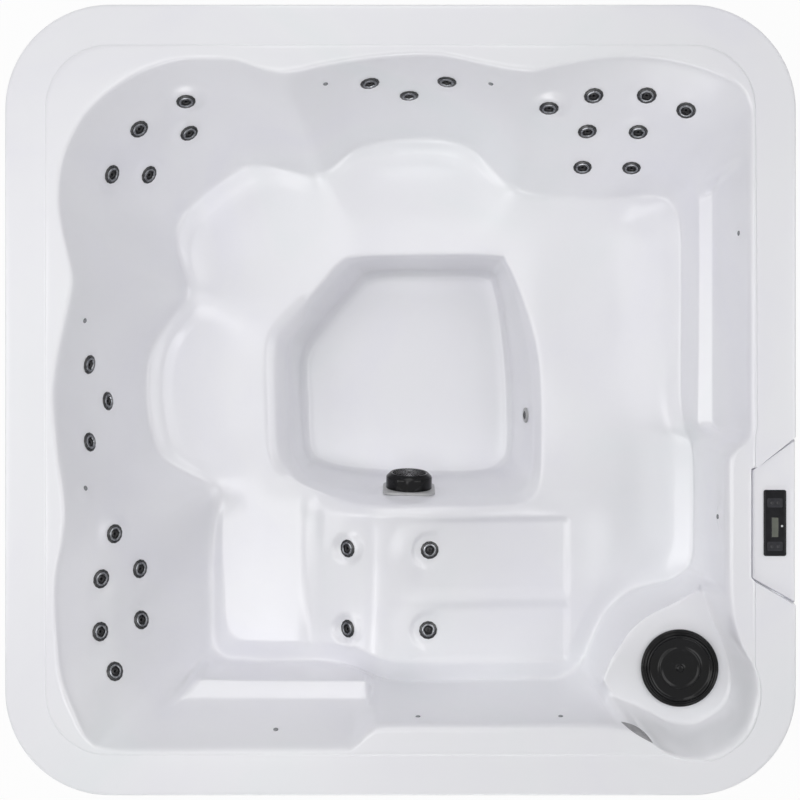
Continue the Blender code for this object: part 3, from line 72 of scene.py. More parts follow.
# The first rings, which lean towards the pod's mouth
POD_RINGS = 4
SEAT_DEPTH = 0.42
FOOTWELL_DEPTH = 0.715
LEDGE_DEPTH = 0.12
SIDE_ARMREST_DEPTH = 0.26
LOUNGE_ARMREST_DEPTH = 0.20
WELL_FILLET = 0.035
WELL_SHARE = 0.32
FLOOR_FILLET = 0.018
FLOOR_SHARES = (0.6, 0.15)
# Wide shoulder of the footwell's left wall: its angles and fade in degrees, its share of the run, its drop
WELL_SHOULDER = (150.0, 214.0, 10.0, 0.60, 0.050)
FAN_CENTRE = np.array((0.024, 0.038))

# The lines are given by x and y in millimetres. A third number is the depth, in percent of the seats'
LINE_UNITS = np.array((1000.0, 1000.0, 100.0))
# Inner edge of the rim
RIM_LINE = (
    (-855, 505), (-850, 580), (-830, 645), (-785, 720), (-720, 780), (-645, 825), (-570, 850), (-495, 855),
    (-415, 850), (-355, 830), (-305, 820), (-255, 825), (-190, 840), (-100, 855), (0, 865), (100, 865),
    (200, 845), (275, 830), (340, 825), (415, 840), (505, 855), (605, 860), (690, 850), (780, 825),
    (845, 790), (875, 745), (880, 680), (880, 505), (880, 250), (880, 0), (880, -70), (865, -105),
    (835, -130), (825, -165), (825, -305), (825, -470), (830, -525), (840, -570), (860, -625), (885, -670),
    (895, -720), (890, -770), (870, -825), (825, -870), (775, -895), (720, -895), (675, -885), (640, -865),
    (605, -835), (555, -825), (500, -820), (250, -820), (-30, -820), (-75, -830), (-115, -865),
    (-160, -875), (-430, -875), (-710, -875), (-780, -850), (-820, -780), (-850, -695), (-860, -605),
    (-865, -515), (-860, -430), (-845, -355), (-840, -290), (-845, -225), (-855, -165), (-865, -75),
    (-870, 15), (-860, 100), (-845, 175), (-830, 240), (-820, 305), (-830, 365), (-845, 430),
)
# Foot of the walls, where the seats begin
FOOT_LINE = (
    (-575, 305, 95), (-645, 400, 100), (-640, 475, 102), (-600, 545, 105), (-525, 610, 105),
    (-440, 660, 105), (-340, 670, 102), (-285, 645, 100), (-220, 615, 95), (-175, 685, 100),
    (-110, 720, 102), (0, 740, 105), (110, 740, 105), (200, 715, 102), (260, 655, 100), (315, 590, 95),
    (410, 575, 100), (565, 570, 102), (690, 580, 102), (755, 565, 97), (780, 510, 93), (787, 415, 92),
    (787, 220, 92), (787, 15, 92), (799, -70, 93), (817, -120, 94), (822, -195, 93), (822, -340, 93),
    (815, -450, 93), (765, -505, 97), (655, -540, 100), (580, -605, 100), (540, -680, 100),
    (515, -735, 100), (455, -785, 100), (340, -790, 100), (140, -795, 100), (0, -795, 100), (-70, -778, 97),
    (-155, -747, 98), (-285, -745, 107), (-430, -745, 107), (-508, -735, 107), (-536, -685, 107),
    (-537, -540, 107), (-535, -425, 107), (-525, -310, 105), (-505, -240, 98), (-595, -215, 100),
    (-670, -170, 100), (-705, -85, 102), (-720, 30, 102), (-705, 145, 102), (-655, 230, 100),
)
# Top edge of the footwell
WELL_LINE = (
    (-175, 385, 102), (-130, 405, 102), (0, 410, 102), (255, 410, 102), (305, 380, 102), (365, 230, 102),
    (395, 90, 102), (400, -85, 102), (395, -225, 100), (365, -280, 97), (295, -295, 95), (110, -295, 93),
    (-110, -290, 95), (-240, -255, 100), (-310, -215, 102), (-355, -155, 102), (-365, 0, 102),
    (-365, 145, 102), (-340, 210, 102), (-250, 300, 102),
)
# Edge of the footwell's floor
FLOOR_LINE = (
    (-145, 340), (-80, 385), (90, 390), (260, 385), (295, 340), (320, 205), (335, 40), (335, -145),
    (310, -200), (240, -225), (60, -230), (-125, -220), (-240, -195), (-285, -150), (-295, 0), (-295, 130),
    (-250, 215),
)
# Filter ledge and armrests: the outer edge against the wall, and the inner edge
LEDGE_OUTER = (
    (780, -470), (815, -570), (845, -640), (860, -700), (860, -750), (840, -800), (795, -830), (755, -845),
    (700, -840), (650, -815), (595, -790), (495, -750),
)
LEDGE_INNER = ((785, -485), (710, -530), (650, -560), (605, -595), (575, -635), (545, -685), (520, -750))
SIDE_ARMREST_OUTER = ((845, -110), (845, 270), (845, 650))
SIDE_ARMREST_INNER = ((805, -110), (810, 270), (810, 650))
LOUNGE_ARMREST_OUTER = ((-30, -795), (-320, -795), (-590, -795))
LOUNGE_ARMREST_INNER = ((-30, -750), (-320, -750), (-590, -745))
# Each shelf in the wall: its lines, its depth, how far it leans inward, the angles in degrees between
# which it stands, and the width of its fade
SHELVES = (
    (LEDGE_OUTER, LEDGE_INNER, LEDGE_DEPTH, 0.000, -56.6, -35.4, 2.6),
    (SIDE_ARMREST_OUTER, SIDE_ARMREST_INNER, SIDE_ARMREST_DEPTH, 0.010, -7.0, 32.5, 2.5),
    (LOUNGE_ARMREST_OUTER, LOUNGE_ARMREST_INNER, LOUNGE_ARMREST_DEPTH, 0.006, -125.5, -98.5, 2.0),
)
# Two rings between the rim and the walls' foot, as shares of the way
WALL_SHARES = (0.32, 0.68)

# Seat pans: each is sunk by a slope just inside the wall's foot, from one angle in degrees to the other,
# and rises again to the footwell
PANS = ((62.0, 113.0), (113.0, 157.0), (155.0, 209.0))
PAN_DEPTH = 0.013
PAN_SLOPE = 0.080
PAN_FADE_DEG = 16.0
PAN_LEAD = 0.25
PAN_RETURN = 0.7
PAN_RETURN_FROM = 0.2
# A shallow dish in the captain's seat: middle, half sizes and depth
SEAT_DISH = ((0.560, 0.230), (0.200, 0.300), 0.006)
# The level floor of the lounge's bucket: middle, half sizes, depth, and the width of its fade
BUCKET = ((-0.398, -0.512), (0.107, 0.170), 0.424, 0.085)

# Rise under the knees, and the calf rest sunk into it, with the crease between the two legs
KNEE_RISE = 0.055
KNEE_START = -0.290
KNEE_TOP = -0.060
KNEE_FALL = 0.75
CALF_END = 0.478
CALF_MIDDLE = -0.533
CALF_HALF = 0.208
CALF_EDGE = 0.018
CALF_FADE = 0.240
CALF_RECESS = 0.009
CALF_CREASE = -0.558
CALF_RIDGE = 0.008
CALF_RIDGE_HALF = 0.030
CALF_END_EDGE = 0.17
LOUNGE_EDGE = 0.08
# Rings between the walls' foot and the footwell, as shares of the way
SEAT_STEP_SHARES = (0.13, 0.36, 0.62, 0.87)

# The shell's fine mesh: degrees between columns, rows between one control ring and the next, and how far
# the profile is rounded at each ring
COLUMN_DEG = 0.45
POD_END_COLUMNS = (-0.6, -0.42, -0.3, -0.2, -0.1, 0.0, 0.1, 0.2, 0.3, 0.42, 0.6)
SHADE_PATCH_SPAN_DEG = (301.2, 306.0)
SHADE_PATCH_COLUMN_DEG = 0.15
ROWS = (3, 2, 6, 40, 4, 5, 10, 6, 20, 24, 20, 14, 14, 15, 15, 12, 10, 20, 10, 8, 6)
ROUNDING = (
    0.0, 0.002, 0.002, 0.014, 0.0015, 0.0015, 0.003, 0.012, 0.012, 0.030, 0.030, 0.024,
    0.030, 0.050, 0.050, 0.026, 0.012, 0.020, 0.016, 0.016, 0.024, 0.0,
)
# Rings that are rounded otherwise: which ring, between which angles in degrees, and how far
OTHER_ROUNDING = (
    (11, 208.0, 240.0, 0.060),
    (9, -7.0, 32.5, 0.010),
    (10, -7.0, 32.5, 0.005),
    (11, -36.0, 32.0, 0.010),
    (11, 242.0, 256.0, 0.036),
    (16, 140.0, 215.0, 0.046),
    (9, -124.5, -98.5, 0.012),
    (10, -124.5, -98.5, 0.005),
    (9, -58.0, -34.0, 0.012),
    (10, -58.0, -34.0, 0.010),
)
ROUNDING_FADE_DEG = 3.0
KERNEL_NODES = 25
# Folds between two seats, where the wall is smoothed sideways: angle and half width in degrees
FOLDS = ((62.0, 13.0), (113.0, 15.0), (156.0, 15.0), (208.0, 15.0))
FOLD_FULL_SHARE = 0.4
FOLD_BLUR_DEG = 3.5
FOLD_BLUR_COLUMNS = 24
# Rings from the lip to the floor that the relief and the folds refer to
UPPER_RING, FOOT_RING, WELL_RING, FLOOR_RING = 9, 11, 16, 18

# Painted shade under the rim's edge beside the filter: a dark grey patch shaped like a slot, laid where the
# shell is in shade
SHADE_PATCH_ENDS = ((0.561, -0.819), (0.637, -0.866))
SHADE_PATCH_HALF_WIDTH = 0.0072
SHADE_PATCH_BOW = 0.0045
SHADE_PATCH_LIFT = 0.0008
# The surface is sunk a little under the painted shade patch, so that the patch stays below the rim's top
SHADE_PATCH_DENT = 0.0012
SHADE_PATCH_DENT_RADII = (0.056, 0.076)
# The surface is flat round each fitting: the radius of the flat part, and that of the fade
JET_FLAT = (0.028, 0.058)
KNEE_JET_FLAT = (0.030, 0.046)
LIGHT_FLAT = (0.006, 0.040)
SUCTION_FLAT = (0.075, 0.100)
RETURN_FLAT = (0.022, 0.050)
KNEE_JETS = ("lounge_leg_jet_1", "lounge_leg_jet_2")
CALF_JETS = ("lounge_leg_jet_3", "lounge_leg_jet_4")
# Lip of the flat pocket round each jet under the calves, highest at one share of the radius, gone at another
POCKET_RADIUS = 0.046
POCKET_LIP = 0.0055
POCKET_CREST = 1.14
POCKET_END = 2.6
# Radii of the holes in the shell
JET_HOLE, FILTER_HOLE, SUCTION_HOLE, RETURN_HOLE = 0.017, 0.090, 0.030, 0.014

# Places of the fittings with no joint of their own, and the way that they face
SUCTION_PLACE = (0.02403, -0.25822, 0.30518)
SUCTION_WAY = (0.02508, 0.98669, 0.16065)
RETURN_PLACE = (0.36572, -0.04409, 0.26504)
RETURN_WAY = (-0.98106, -0.01154, 0.19337)
FILTER_PLACE = (0.727, -0.698, 0.68)
# Where each light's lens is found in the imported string, by x and y, and how far its corners reach
LIGHT_SPOTS = (
    (-0.813, 0.204), (-0.811, -0.227), (-0.321, -0.849), (0.045, -0.816), (0.413, -0.815),
    (0.817, -0.300), (0.871, 0.430), (0.233, 0.815), (-0.193, 0.814),
)
LIGHT_LEVEL = 0.725
LENS_REACH = 0.008
DRAIN_PLACE = (0.55, -0.986, 0.10)
# Each jet's place and outward direction, by name
JETS = {
    joint["child"]: (joint["pos_m"], joint["axis"]) for joint in frame["joints"] if "_jet_" in joint["child"]
}
FIT_GAP = 0.0004

# Control panel: sizes as width, length and corner radius, and shifts from its middle
PANEL_CENTRE = (0.947, -0.311)
PANEL_LEVEL = 0.7915
BUTTON_LEVEL = 0.7924
BEZEL_SIZE = (0.0567, 0.1673, 0.005)
PAD_SIZE = (0.0390, 0.0235, 0.004)
FRAME_SIZE = (0.0205, 0.0545, 0.002)
WINDOW_SIZE = (0.0157, 0.0493, 0.0012)
WINDOW_SHIFT = -0.011
PAD_SHIFTS = (0.0510, -0.0590)
LAMP_SHIFT = (0.0175, -0.0077)
BUTTON_SHIFTS = ((-0.00775, 0.0513), (0.00775, 0.0513), (-0.00775, -0.0590), (0.00775, -0.0590))
FLANGE_SIZE = (0.149, 0.149, 0.030)
LEAST_CORNER_SHARE = 0.15
PROFILE_UNITS = 10000.0

# Ribs of the suction cover and pleats of the cartridge
RIBS = 30
PLEATS = 64
PLEAT_RADII = (0.0560, 0.0665)
PLEAT_HEIGHTS = (-0.2896, -0.0596)

# Cabinet
CABINET_SPAN = (0.0304, 0.770)
CABINET_WALL = 0.012
CABINET_INSET = 0.014
CABINET_GAP = 0.003
CABINET_BEVEL = (0.0006, 0.0010)
CABINET_STEPS = 24
BASE_INSET = 0.016
PLANKS = 6
GROOVE = 0.005
GROOVE_DEPTH = 0.0022
GROOVE_PROFILE = ((-0.5, 0.0), (-0.28, 0.8), (0.0, 1.0), (0.28, 0.8), (0.5, 0.0))

# Stage
CAMERA_PLACE = (-0.0013, 0.0, TUB_HEIGHT + 3.5)
CAMERA_LENS = 62.45
AMBIENT = 0.06
FLOOR_SIZE = 30.0
FLOOR_GLOW = 0.95
LAMPS_AIM = (0.0, 0.0, 0.5)
# Each lamp's place, width, length and energy. Those overhead face straight down, the others the tub
LAMPS = {
    "left": ((-3.3, 0.0, 4.9), (2.6, 2.0), 53.0),
    "left_low": ((-4.2, 0.0, 2.8), (2.6, 2.0), 38.0),
    "right": ((3.3, 0.0, 4.9), (2.6, 2.0), 46.0),
    "right_low": ((4.2, 0.0, 2.9), (2.6, 2.0), 24.0),
    "back": ((0.0, 3.3, 4.9), (2.0, 2.0), 33.0),
    "back_low": ((0.0, 4.2, 2.5), (2.2, 1.8), 25.0),
    "front_low": ((0.0, -4.2, 2.2), (2.4, 1.6), 47.0),
    "top_back": ((-1.6, 1.2, 6.0), (1.6, 1.6), 8.0),
    "top_front": ((-0.95, -1.38, 6.0), (0.55, 0.95), 6.5),
    "top_front_wide": ((-0.95, -1.30, 6.1), (1.15, 1.8), 18.0),
    "top": ((-0.45, 0.30, 6.0), (2.3, 2.3), 29.0),
}


def smoothstep(value, low, high):
    t = np.clip((value - low) / (high - low), 0.0, 1.0)
    return t * t * (3.0 - 2.0 * t)


def spline_points(line, closed, steps=12):
    """A Catmull-Rom curve through the line's points, in metres and in shares of the depth."""
    points = np.array(line) / LINE_UNITS[: len(line[0])]
    if closed:
        ends = np.vstack([points[-1:], points, points[:2]])
    else:
        ends = np.vstack([2 * points[:1] - points[1:2], points, 2 * points[-1:] - points[-2:-1]])
    curve = []
    for i in range(len(ends) - 3):
        before, start, end, after = ends[i : i + 4]
        for t in np.arange(steps) / steps:
            square = (2 * before - 5 * start + 4 * end - after) * t**2
            cube = (3 * start - before - 3 * end + after) * t**3
            curve.append(0.5 * (2 * start + (end - before) * t + square + cube))
    if not closed:
        curve.append(points[-1])
    return np.array(curve)


def polar(curve, angles, closed=True):
    """The distance from the fan's centre to the curve along each angle, and the curve's further columns."""
    away = curve[:, :2] - FAN_CENTRE
    turn = np.arctan2(away[:, 1], away[:, 0])
    middle = 0.0 if closed else turn[len(turn) // 2]
    turn = (turn - middle + pi) % (2 * pi) - pi
    wanted = (np.asarray(angles) - middle + pi) % (2 * pi) - pi
    order = np.argsort(turn)
    if closed:
        order = np.concatenate([order[-1:], order, order[:1]])
    turn = turn[order]
    if closed:
        turn[0] -= 2 * pi
        turn[-1] += 2 * pi
    wanted = np.clip(wanted, turn[0], turn[-1])
    after = np.clip(np.searchsorted(turn, wanted), 1, len(turn) - 1)
    start, end = order[after - 1], order[after]
    near = np.hypot(*away[start].T) * np.sin(wanted - turn[after - 1])
    far = np.hypot(*away[end].T) * np.sin(turn[after] - wanted)
    share = near / np.maximum(near + far, np.finfo(float).tiny)
    place = away[start] + (away[end] - away[start]) * share[:, None]
    extra = curve[start, 2:] + (curve[end, 2:] - curve[start, 2:]) * share[:, None]
    return [np.hypot(*place.T), *extra.T]


def line_reach(line, angles, closed=True):
    return polar(spline_points(line, closed), angles, closed)


def rounded_loop(middles, radius, steps):
    """Points round the four corners' middles, from the +X+Y corner on."""
    points = []
    for quarter, (x, y) in enumerate(middles):
        for step in range(steps + 1):
            turn = (quarter + step / steps) * pi / 2
            points.append((x + radius * cos(turn), y + radius * sin(turn)))
    return points


def rounded_square(inset, steps):
    """Points round the tub's rounded square, drawn in by inset."""
    radius = CORNER_RADIUS - inset
    corner = Vector([TUB_HALF - inset - radius] * 2)
    return np.array(rounded_loop([Matrix.Rotation(k * pi / 2, 2) @ corner for k in range(4)], radius, steps))


def outline(inset, angles):
    """Distance from the fan's centre to the tub's rounded square, drawn in by inset."""
    return polar(rounded_square(inset, 48), angles)[0]


def lounge_relief(x, y):
    """Rise of the lounge's knee and calf rest over the plain seat."""
    knee = smoothstep(x, KNEE_START, KNEE_TOP)
    fall = 1.0 - KNEE_FALL * smoothstep(x, KNEE_TOP, CALF_END)
    inner_edge = CALF_MIDDLE + CALF_HALF
    across = smoothstep(y, inner_edge + LOUNGE_EDGE, inner_edge)
    end = smoothstep(x, CALF_END + CALF_END_EDGE, CALF_END)
    rise = KNEE_RISE * knee * fall * across * end
    inside = smoothstep(x, KNEE_TOP, KNEE_TOP + CALF_FADE)
    inside = inside * smoothstep(x, CALF_END, CALF_END - CALF_EDGE)
    away = np.abs(y - CALF_MIDDLE)
    inside = inside * smoothstep(away, CALF_HALF, CALF_HALF - CALF_EDGE)
    ridge = smoothstep(np.abs(y - CALF_CREASE), CALF_RIDGE_HALF, 0.0)
    return rise + inside * (CALF_RIDGE * ridge - CALF_RECESS)


def seat_relief(x, y):
    """The captain's seat's dish and the forms of the lounge, in metres."""
    middle, half, depth = SEAT_DISH
    away = np.hypot((x - middle[0]) / half[0], (y - middle[1]) / half[1])
    return lounge_relief(x, y) - depth * smoothstep(away, 1.0, 0.25)


def add_relief(points, ring, degrees):
    """Adds the seats' relief to the rounded surface. Each row has its place among the control rings."""
    x, y = points[..., 0], points[..., 1]
    rings = (FOOT_RING, FOOT_RING + 1, FLOOR_RING - 1, FLOOR_RING)
    weight = np.interp(ring, rings, (0.0, 1.0, 1.0, 0.0))
    rise = seat_relief(x, y) * weight[:, None]
    shares = (0.0, *SEAT_STEP_SHARES, 1.0)
    share = np.interp(ring, np.arange(FOOT_RING, WELL_RING + 1), shares)[:, None]
    rows = [int(np.argmin(np.abs(ring - k))) for k in (FOOT_RING, WELL_RING)]
    length = np.hypot(*(points[rows[0], :, :2] - points[rows[1], :, :2]).T)
    slope = smoothstep(share * length, -PAN_LEAD * PAN_SLOPE, PAN_SLOPE)
    slope = slope * (1.0 - PAN_RETURN * smoothstep(share, PAN_RETURN_FROM, 1.0)) * weight[:, None]
    turn = degrees % 360.0
    for start, end in PANS:
        beside = smoothstep(turn, start, start + PAN_FADE_DEG) * smoothstep(turn, end, end - PAN_FADE_DEG)
        rise -= PAN_DEPTH * slope * beside
    points[..., 2] += rise
    middle, half, depth, fade = BUCKET
    level = smoothstep(np.abs(x - middle[0]), half[0] + fade, half[0])
    level = level * smoothstep(np.abs(y - middle[1]), half[1] + fade, half[1])
    points[..., 2] += (TUB_HEIGHT - depth - points[..., 2]) * level * weight[:, None]


def blur_folds(points, ring, degrees):
    """Smooths the surface sideways where two seats meet, below the upper part of the wall."""
    turn = degrees % 360.0
    order = np.arange(-FOLD_BLUR_COLUMNS, FOLD_BLUR_COLUMNS + 1)
    steps = order * COLUMN_DEG
    kernel = np.exp(-0.5 * (steps / FOLD_BLUR_DEG) ** 2)
    kernel /= kernel.sum()
    blurred = sum(part * np.roll(points, -shift, axis=1) for shift, part in zip(order, kernel))
    weight = np.zeros(len(turn))
    for middle, half in FOLDS:
        weight = np.maximum(weight, smoothstep(np.abs(turn - middle), half, half * FOLD_FULL_SHARE))
    down = np.interp(ring, (UPPER_RING - 1, UPPER_RING, WELL_RING - 1, WELL_RING), (0.0, 1.0, 1.0, 0.0))
    share = (down[:, None] * weight)[..., None]
    return points + (blurred - points) * share


def fine_angles():
    """The nominal angle of each column, closer at the pod's ends and at the painted shade patch beside the
    filter.
    """
    plain = np.arange(0.0, 360.0, COLUMN_DEG)
    ends = [turn % 360.0 for turn in (POD_TOP_DEG, POD_BOTTOM_DEG)]
    keep = np.ones(len(plain), dtype=bool)
    for end in ends:
        keep &= np.abs(plain - end) > max(POD_END_COLUMNS) + COLUMN_DEG / 3
    low, high = SHADE_PATCH_SPAN_DEG
    keep &= (plain < low - COLUMN_DEG / 3) | (plain > high + COLUMN_DEG / 3)
    extra = [end + np.array(POD_END_COLUMNS) for end in ends]
    extra.append(np.arange(low, high + SHADE_PATCH_COLUMN_DEG / 2, SHADE_PATCH_COLUMN_DEG))
    return np.radians(np.sort(np.concatenate([plain[keep], *extra])))


def pod_weight(degrees):
    """How far each column lies in the pod, and how far it leans towards the pod's wide mouth."""
    top_end, bottom_end = POD_END_DEG
    inside = smoothstep(degrees, POD_TOP_DEG + top_end, POD_TOP_DEG - top_end)
    inside = inside * smoothstep(degrees, POD_BOTTOM_DEG - bottom_end, POD_BOTTOM_DEG + bottom_end)
    above = smoothstep(degrees, POD_TOP_DEG + POD_FADE_DEG, POD_TOP_DEG)
    below = smoothstep(degrees, POD_BOTTOM_DEG, POD_TOP_DEG)
    lean = np.where(degrees > POD_TOP_DEG, above, below)
    return inside, np.radians(POD_TURN_DEG) * lean


def control_rings(angles):
    """The shell's profile as rings of points, from behind the lip, over the rim and down to the floor."""
    degrees = (np.degrees(angles) + 180.0) % 360.0 - 180.0
    top = np.zeros_like(angles)
    in_pod, lean = pod_weight(degrees)
    sunk = -POD_DROP * in_pod - BAND_DROP * (1.0 - in_pod)
    sunk = sunk - POD_END_GROOVE * POD_GROOVE * in_pod * (1.0 - in_pod)
    lip = -POD_DROP * in_pod - LIP_DROP
    rim = line_reach(RIM_LINE, angles)[0]
    foot, foot_share = line_reach(FOOT_LINE, angles)
    foot_depth = foot_share * SEAT_DEPTH
    well, well_share = line_reach(WELL_LINE, angles)
    well_depth = well_share * SEAT_DEPTH
    floor = line_reach(FLOOR_LINE, angles)[0]

    outer = angles + lean
    rings = [
        (outline(LIP_WALL, outer), sunk - LIP_WALL),
        (outline(LIP_WALL, outer), lip),
        (outline(0.0, outer), lip),
        (outline(0.0, outer), sunk),
    ]
    edge = rim + RIM_EDGE
    step_inner = outline(BAND_INSET + BAND_STEP, angles)
    step_inner = step_inner + (outline(POD_INSET, angles) - step_inner) * in_pod
    width = BAND_STEP + (POD_STEP - BAND_STEP) * in_pod
    step_inner = np.maximum(step_inner, edge + POD_STEP)
    rings += [
        (step_inner + width, sunk),
        (step_inner + width * POD_GROOVE_SHARE, sunk - POD_GROOVE * in_pod),
        (step_inner, top),
        (edge, top),
        (rim, top - RIM_EDGE_DROP),
    ]

    reaches = [rim + (foot - rim) * share for share in WALL_SHARES]
    depths = [foot_depth * share for share in WALL_SHARES]
    for *lines, depth, lean_drop, start, end, fade in SHELVES:
        weight = smoothstep(degrees, start - fade, start) * smoothstep(degrees, end + fade, end)
        for k, (line, level) in enumerate(zip(lines, (depth - lean_drop, depth + lean_drop))):
            reaches[k] += (line_reach(line, angles, False)[0] - reaches[k]) * weight
            depths[k] += (level - depths[k]) * weight
    rings += [(reach, -depth) for reach, depth in zip([*reaches, foot], [*depths, foot_depth])]

    for share in SEAT_STEP_SHARES:
        reach = foot + (well - foot) * share
        at_foot = (foot_depth - SEAT_DEPTH) * (1.0 - share) ** 5
        at_well = (well_depth - SEAT_DEPTH) * share**3
        rings.append((reach, -(SEAT_DEPTH + at_foot + at_well)))
    rings.append((well, -well_depth))
    start, end, fade, share, drop = WELL_SHOULDER
    turn = degrees % 360.0
    shoulder = smoothstep(turn, start - fade, start) * smoothstep(turn, end + fade, end)
    share = WELL_SHARE + (share - WELL_SHARE) * shoulder
    drop = WELL_FILLET + (drop - WELL_FILLET) * shoulder
    rings.append((well + (floor - well) * share, -well_depth - drop))
    rings.append((floor, top - FOOTWELL_DEPTH + FLOOR_FILLET))
    for share in (1.0, *FLOOR_SHARES):
        rings.append(((floor - FLOOR_FILLET) * share, top - FOOTWELL_DEPTH))
    points = []
    for k, (reach, height) in enumerate(rings):
        turn = outer if k < POD_RINGS else angles
        x = FAN_CENTRE[0] + reach * np.cos(turn)
        y = FAN_CENTRE[1] + reach * np.sin(turn)
        points.append(np.stack([x, y, TUB_HEIGHT + height], axis=1))
    return np.array(points)


def roundings(degrees):
    """How far each column is rounded at each ring."""
    table = np.repeat(np.array(ROUNDING)[:, None], len(degrees), axis=1)
    for ring, start, end, value in OTHER_ROUNDING:
        away = np.abs((degrees - (start + end) / 2 + 180.0) % 360.0 - 180.0)
        half = (end - start) / 2
        weight = smoothstep(away, half + ROUNDING_FADE_DEG, half)
        table[ring] += (value - table[ring]) * weight
    return table


def fill_rows(table):
    """Fine rows between each row of the table and the next."""
    shares = [(np.arange(count) / count)[:, None] for count in ROWS]
    rows = [low + share * (high - low) for share, low, high in zip(shares, table, table[1:])]
    return np.vstack([*rows, table[-1:]])


def rounded_profiles(controls, degrees):
    """Fine rows of points along each column of the control rings, with the corners rounded."""
    lengths = np.linalg.norm(np.diff(controls, axis=0), axis=2)
    along = np.vstack([np.zeros(controls.shape[1]), np.cumsum(lengths, axis=0)])
    places, spreads = fill_rows(along), fill_rows(roundings(degrees))
    ring = fill_rows(np.arange(len(ROWS) + 1.0)[:, None])[:, 0]
    nodes = np.linspace(-1.0, 1.0, KERNEL_NODES + 2)[1:-1]
    weights = 1.0 - np.abs(nodes)
    weights /= weights.sum()
    points = np.empty((len(places), controls.shape[1], 3))
    for column in range(controls.shape[1]):
        asked = places[:, column, None] + spreads[:, column, None] * nodes
        for axis in range(3):
            values = np.interp(asked, along[:, column], controls[:, column, axis])
            points[:, column, axis] = values @ weights
    return points, ring


def build_shade_patch(verts, faces):
    """A dark grey almond-shaped patch of painted shade under the rim's edge beside the filter, laid on the
    shell's surface.
    """
    start, end = np.array(SHADE_PATCH_ENDS)
    middle, half = (start + end) / 2, (end - start) / 2
    away = np.linalg.norm(verts[faces][:, :, :2].mean(axis=1) - middle, axis=1)
    near = away < 2 * np.linalg.norm(end - start)
    tree = BVHTree.FromPolygons(verts.tolist(), faces[near].tolist())
    across = np.array((-half[1], half[0])) / np.linalg.norm(half)
    mesh = bmesh.new()
    levels = []
    for a in np.linspace(-0.98, 0.98, 33):
        swell = 1.0 - a * a
        spots = []
        for b in np.linspace(-1.0, 1.0, 9):
            x, y = middle + half * a + across * (SHADE_PATCH_HALF_WIDTH * swell * b + SHADE_PATCH_BOW * swell)
            spots.append(tree.ray_cast(Vector((x, y, TUB_HEIGHT + LIP_DROP)), Vector((0.0, 0.0, -1.0)))[0])
        lift = Vector((0.0, 0.0, SHADE_PATCH_LIFT))
        loop = [spot + lift for spot in spots] + [spot - lift for spot in reversed(spots)]
        levels.append([mesh.verts.new(spot) for spot in loop])
    join_levels(mesh, levels)
    # The patch is painted shade, not an opening in the shell
    add_piece("painted_shade_patch", mesh, [SHADE_PATCH_GREY], "tub", (), 80.0)


def find_lights():
    """Each light's place and the way that it faces: a packed lens is a tip over rings in one plane."""
    node = frame["nodes"]["perimeter_light_string"]
    corners = np.unique([tuple(node.matrix_world @ vert.co) for vert in node.data.vertices], axis=0)
    lights = []
    for spot in LIGHT_SPOTS:
        lens = corners[np.linalg.norm(corners - (*spot, LIGHT_LEVEL), axis=1) < LENS_REACH]
        middle = lens.mean(axis=0)
        way = np.linalg.svd(lens - middle)[2][2]
        way *= np.sign(way[:2] @ (FAN_CENTRE - middle[:2]))
        foot = np.min((lens - middle) @ way)
        lights.append((middle + way * (foot - FIT_GAP), way))
    return lights


LIGHTS = find_lights()


def over_plane(points, place, way):
    """Each point's height over the plane through the place, and its way from the place along that plane."""
    away = points - np.array(place)
    height = away @ way
    return height, away - height[..., None] * way


def raise_lip(points, place, way):
    """Raises a crescent round a jet's flat pocket, on its side to the lounge's head."""
    way = np.array(way)
    height, along = over_plane(points, place, way)
    reach = np.maximum(np.linalg.norm(along, axis=-1), FIT_GAP)
    side = smoothstep((-along[..., 0] + 0.35 * along[..., 1]) / reach, -0.35, 0.5)
    lip = smoothstep(reach, POCKET_RADIUS, POCKET_RADIUS * POCKET_CREST)
    lip = lip * smoothstep(reach, POCKET_RADIUS * POCKET_END, POCKET_RADIUS * POCKET_CREST)
    points += way * (POCKET_LIP * lip * side * (np.abs(height) < POCKET_RADIUS))[..., None]


def flatten(points, place, way, flat, fade):
    """Draws the surface to a fitting's plane within the flat radius, fading out at the other radius."""
    way = np.array(way) / np.linalg.norm(way)
    height, along = over_plane(points, place, way)
    weight = smoothstep(np.linalg.norm(along, axis=-1), fade, flat) * (np.abs(height) < fade)
    points -= way * (height * weight)[..., None]


def open_holes(verts, faces, holes):
    """Drops the faces inside each round hole, and draws the points at its edge to the hole's radius."""
    for place, way, radius in holes:
        place, way = np.array(place), np.array(way)
        away = np.linalg.norm(verts[faces].mean(axis=1) - place, axis=1)
        gone = away < radius
        beside = (away < 3 * radius) & ~gone
        edge = np.intersect1d(faces[gone], faces[beside])
        out = verts[edge] - place
        height = (out @ way)[:, None] * way
        flat = out - height
        verts[edge] = place + height + flat * (radius / np.linalg.norm(flat, axis=1))[:, None]
        faces = faces[~gone]
    used, faces = np.unique(faces, return_inverse=True)
    return verts[used], faces.reshape(-1, 4)


# Materials

def new_material(name):
    made = bpy.data.materials.new(name)
    made.use_nodes = True
    return made, made.node_tree, made.node_tree.nodes["Principled BSDF"]


def feed(tree, socket, value):
    """Gives the socket a value, or links it to the output that feeds it."""
    if isinstance(value, bpy.types.NodeSocket):
        tree.links.new(value, socket)
    else:
        socket.default_value = value


def set_inputs(tree, node, **inputs):
    """Feeds the node's inputs, which are named with _ for a space."""
    for name, value in inputs.items():
        feed(tree, node.inputs[name.replace("_", " ")], value)


def add_node(tree, kind, **inputs):
    made = tree.nodes.new(f"ShaderNode{kind}")
    set_inputs(tree, made, **inputs)
    return made


def noise(tree, source, scale, detail, distortion=0.0):
    made = add_node(tree, "TexNoise", Vector=source, Scale=scale, Detail=detail, Distortion=distortion)
    return made.outputs["Fac"]


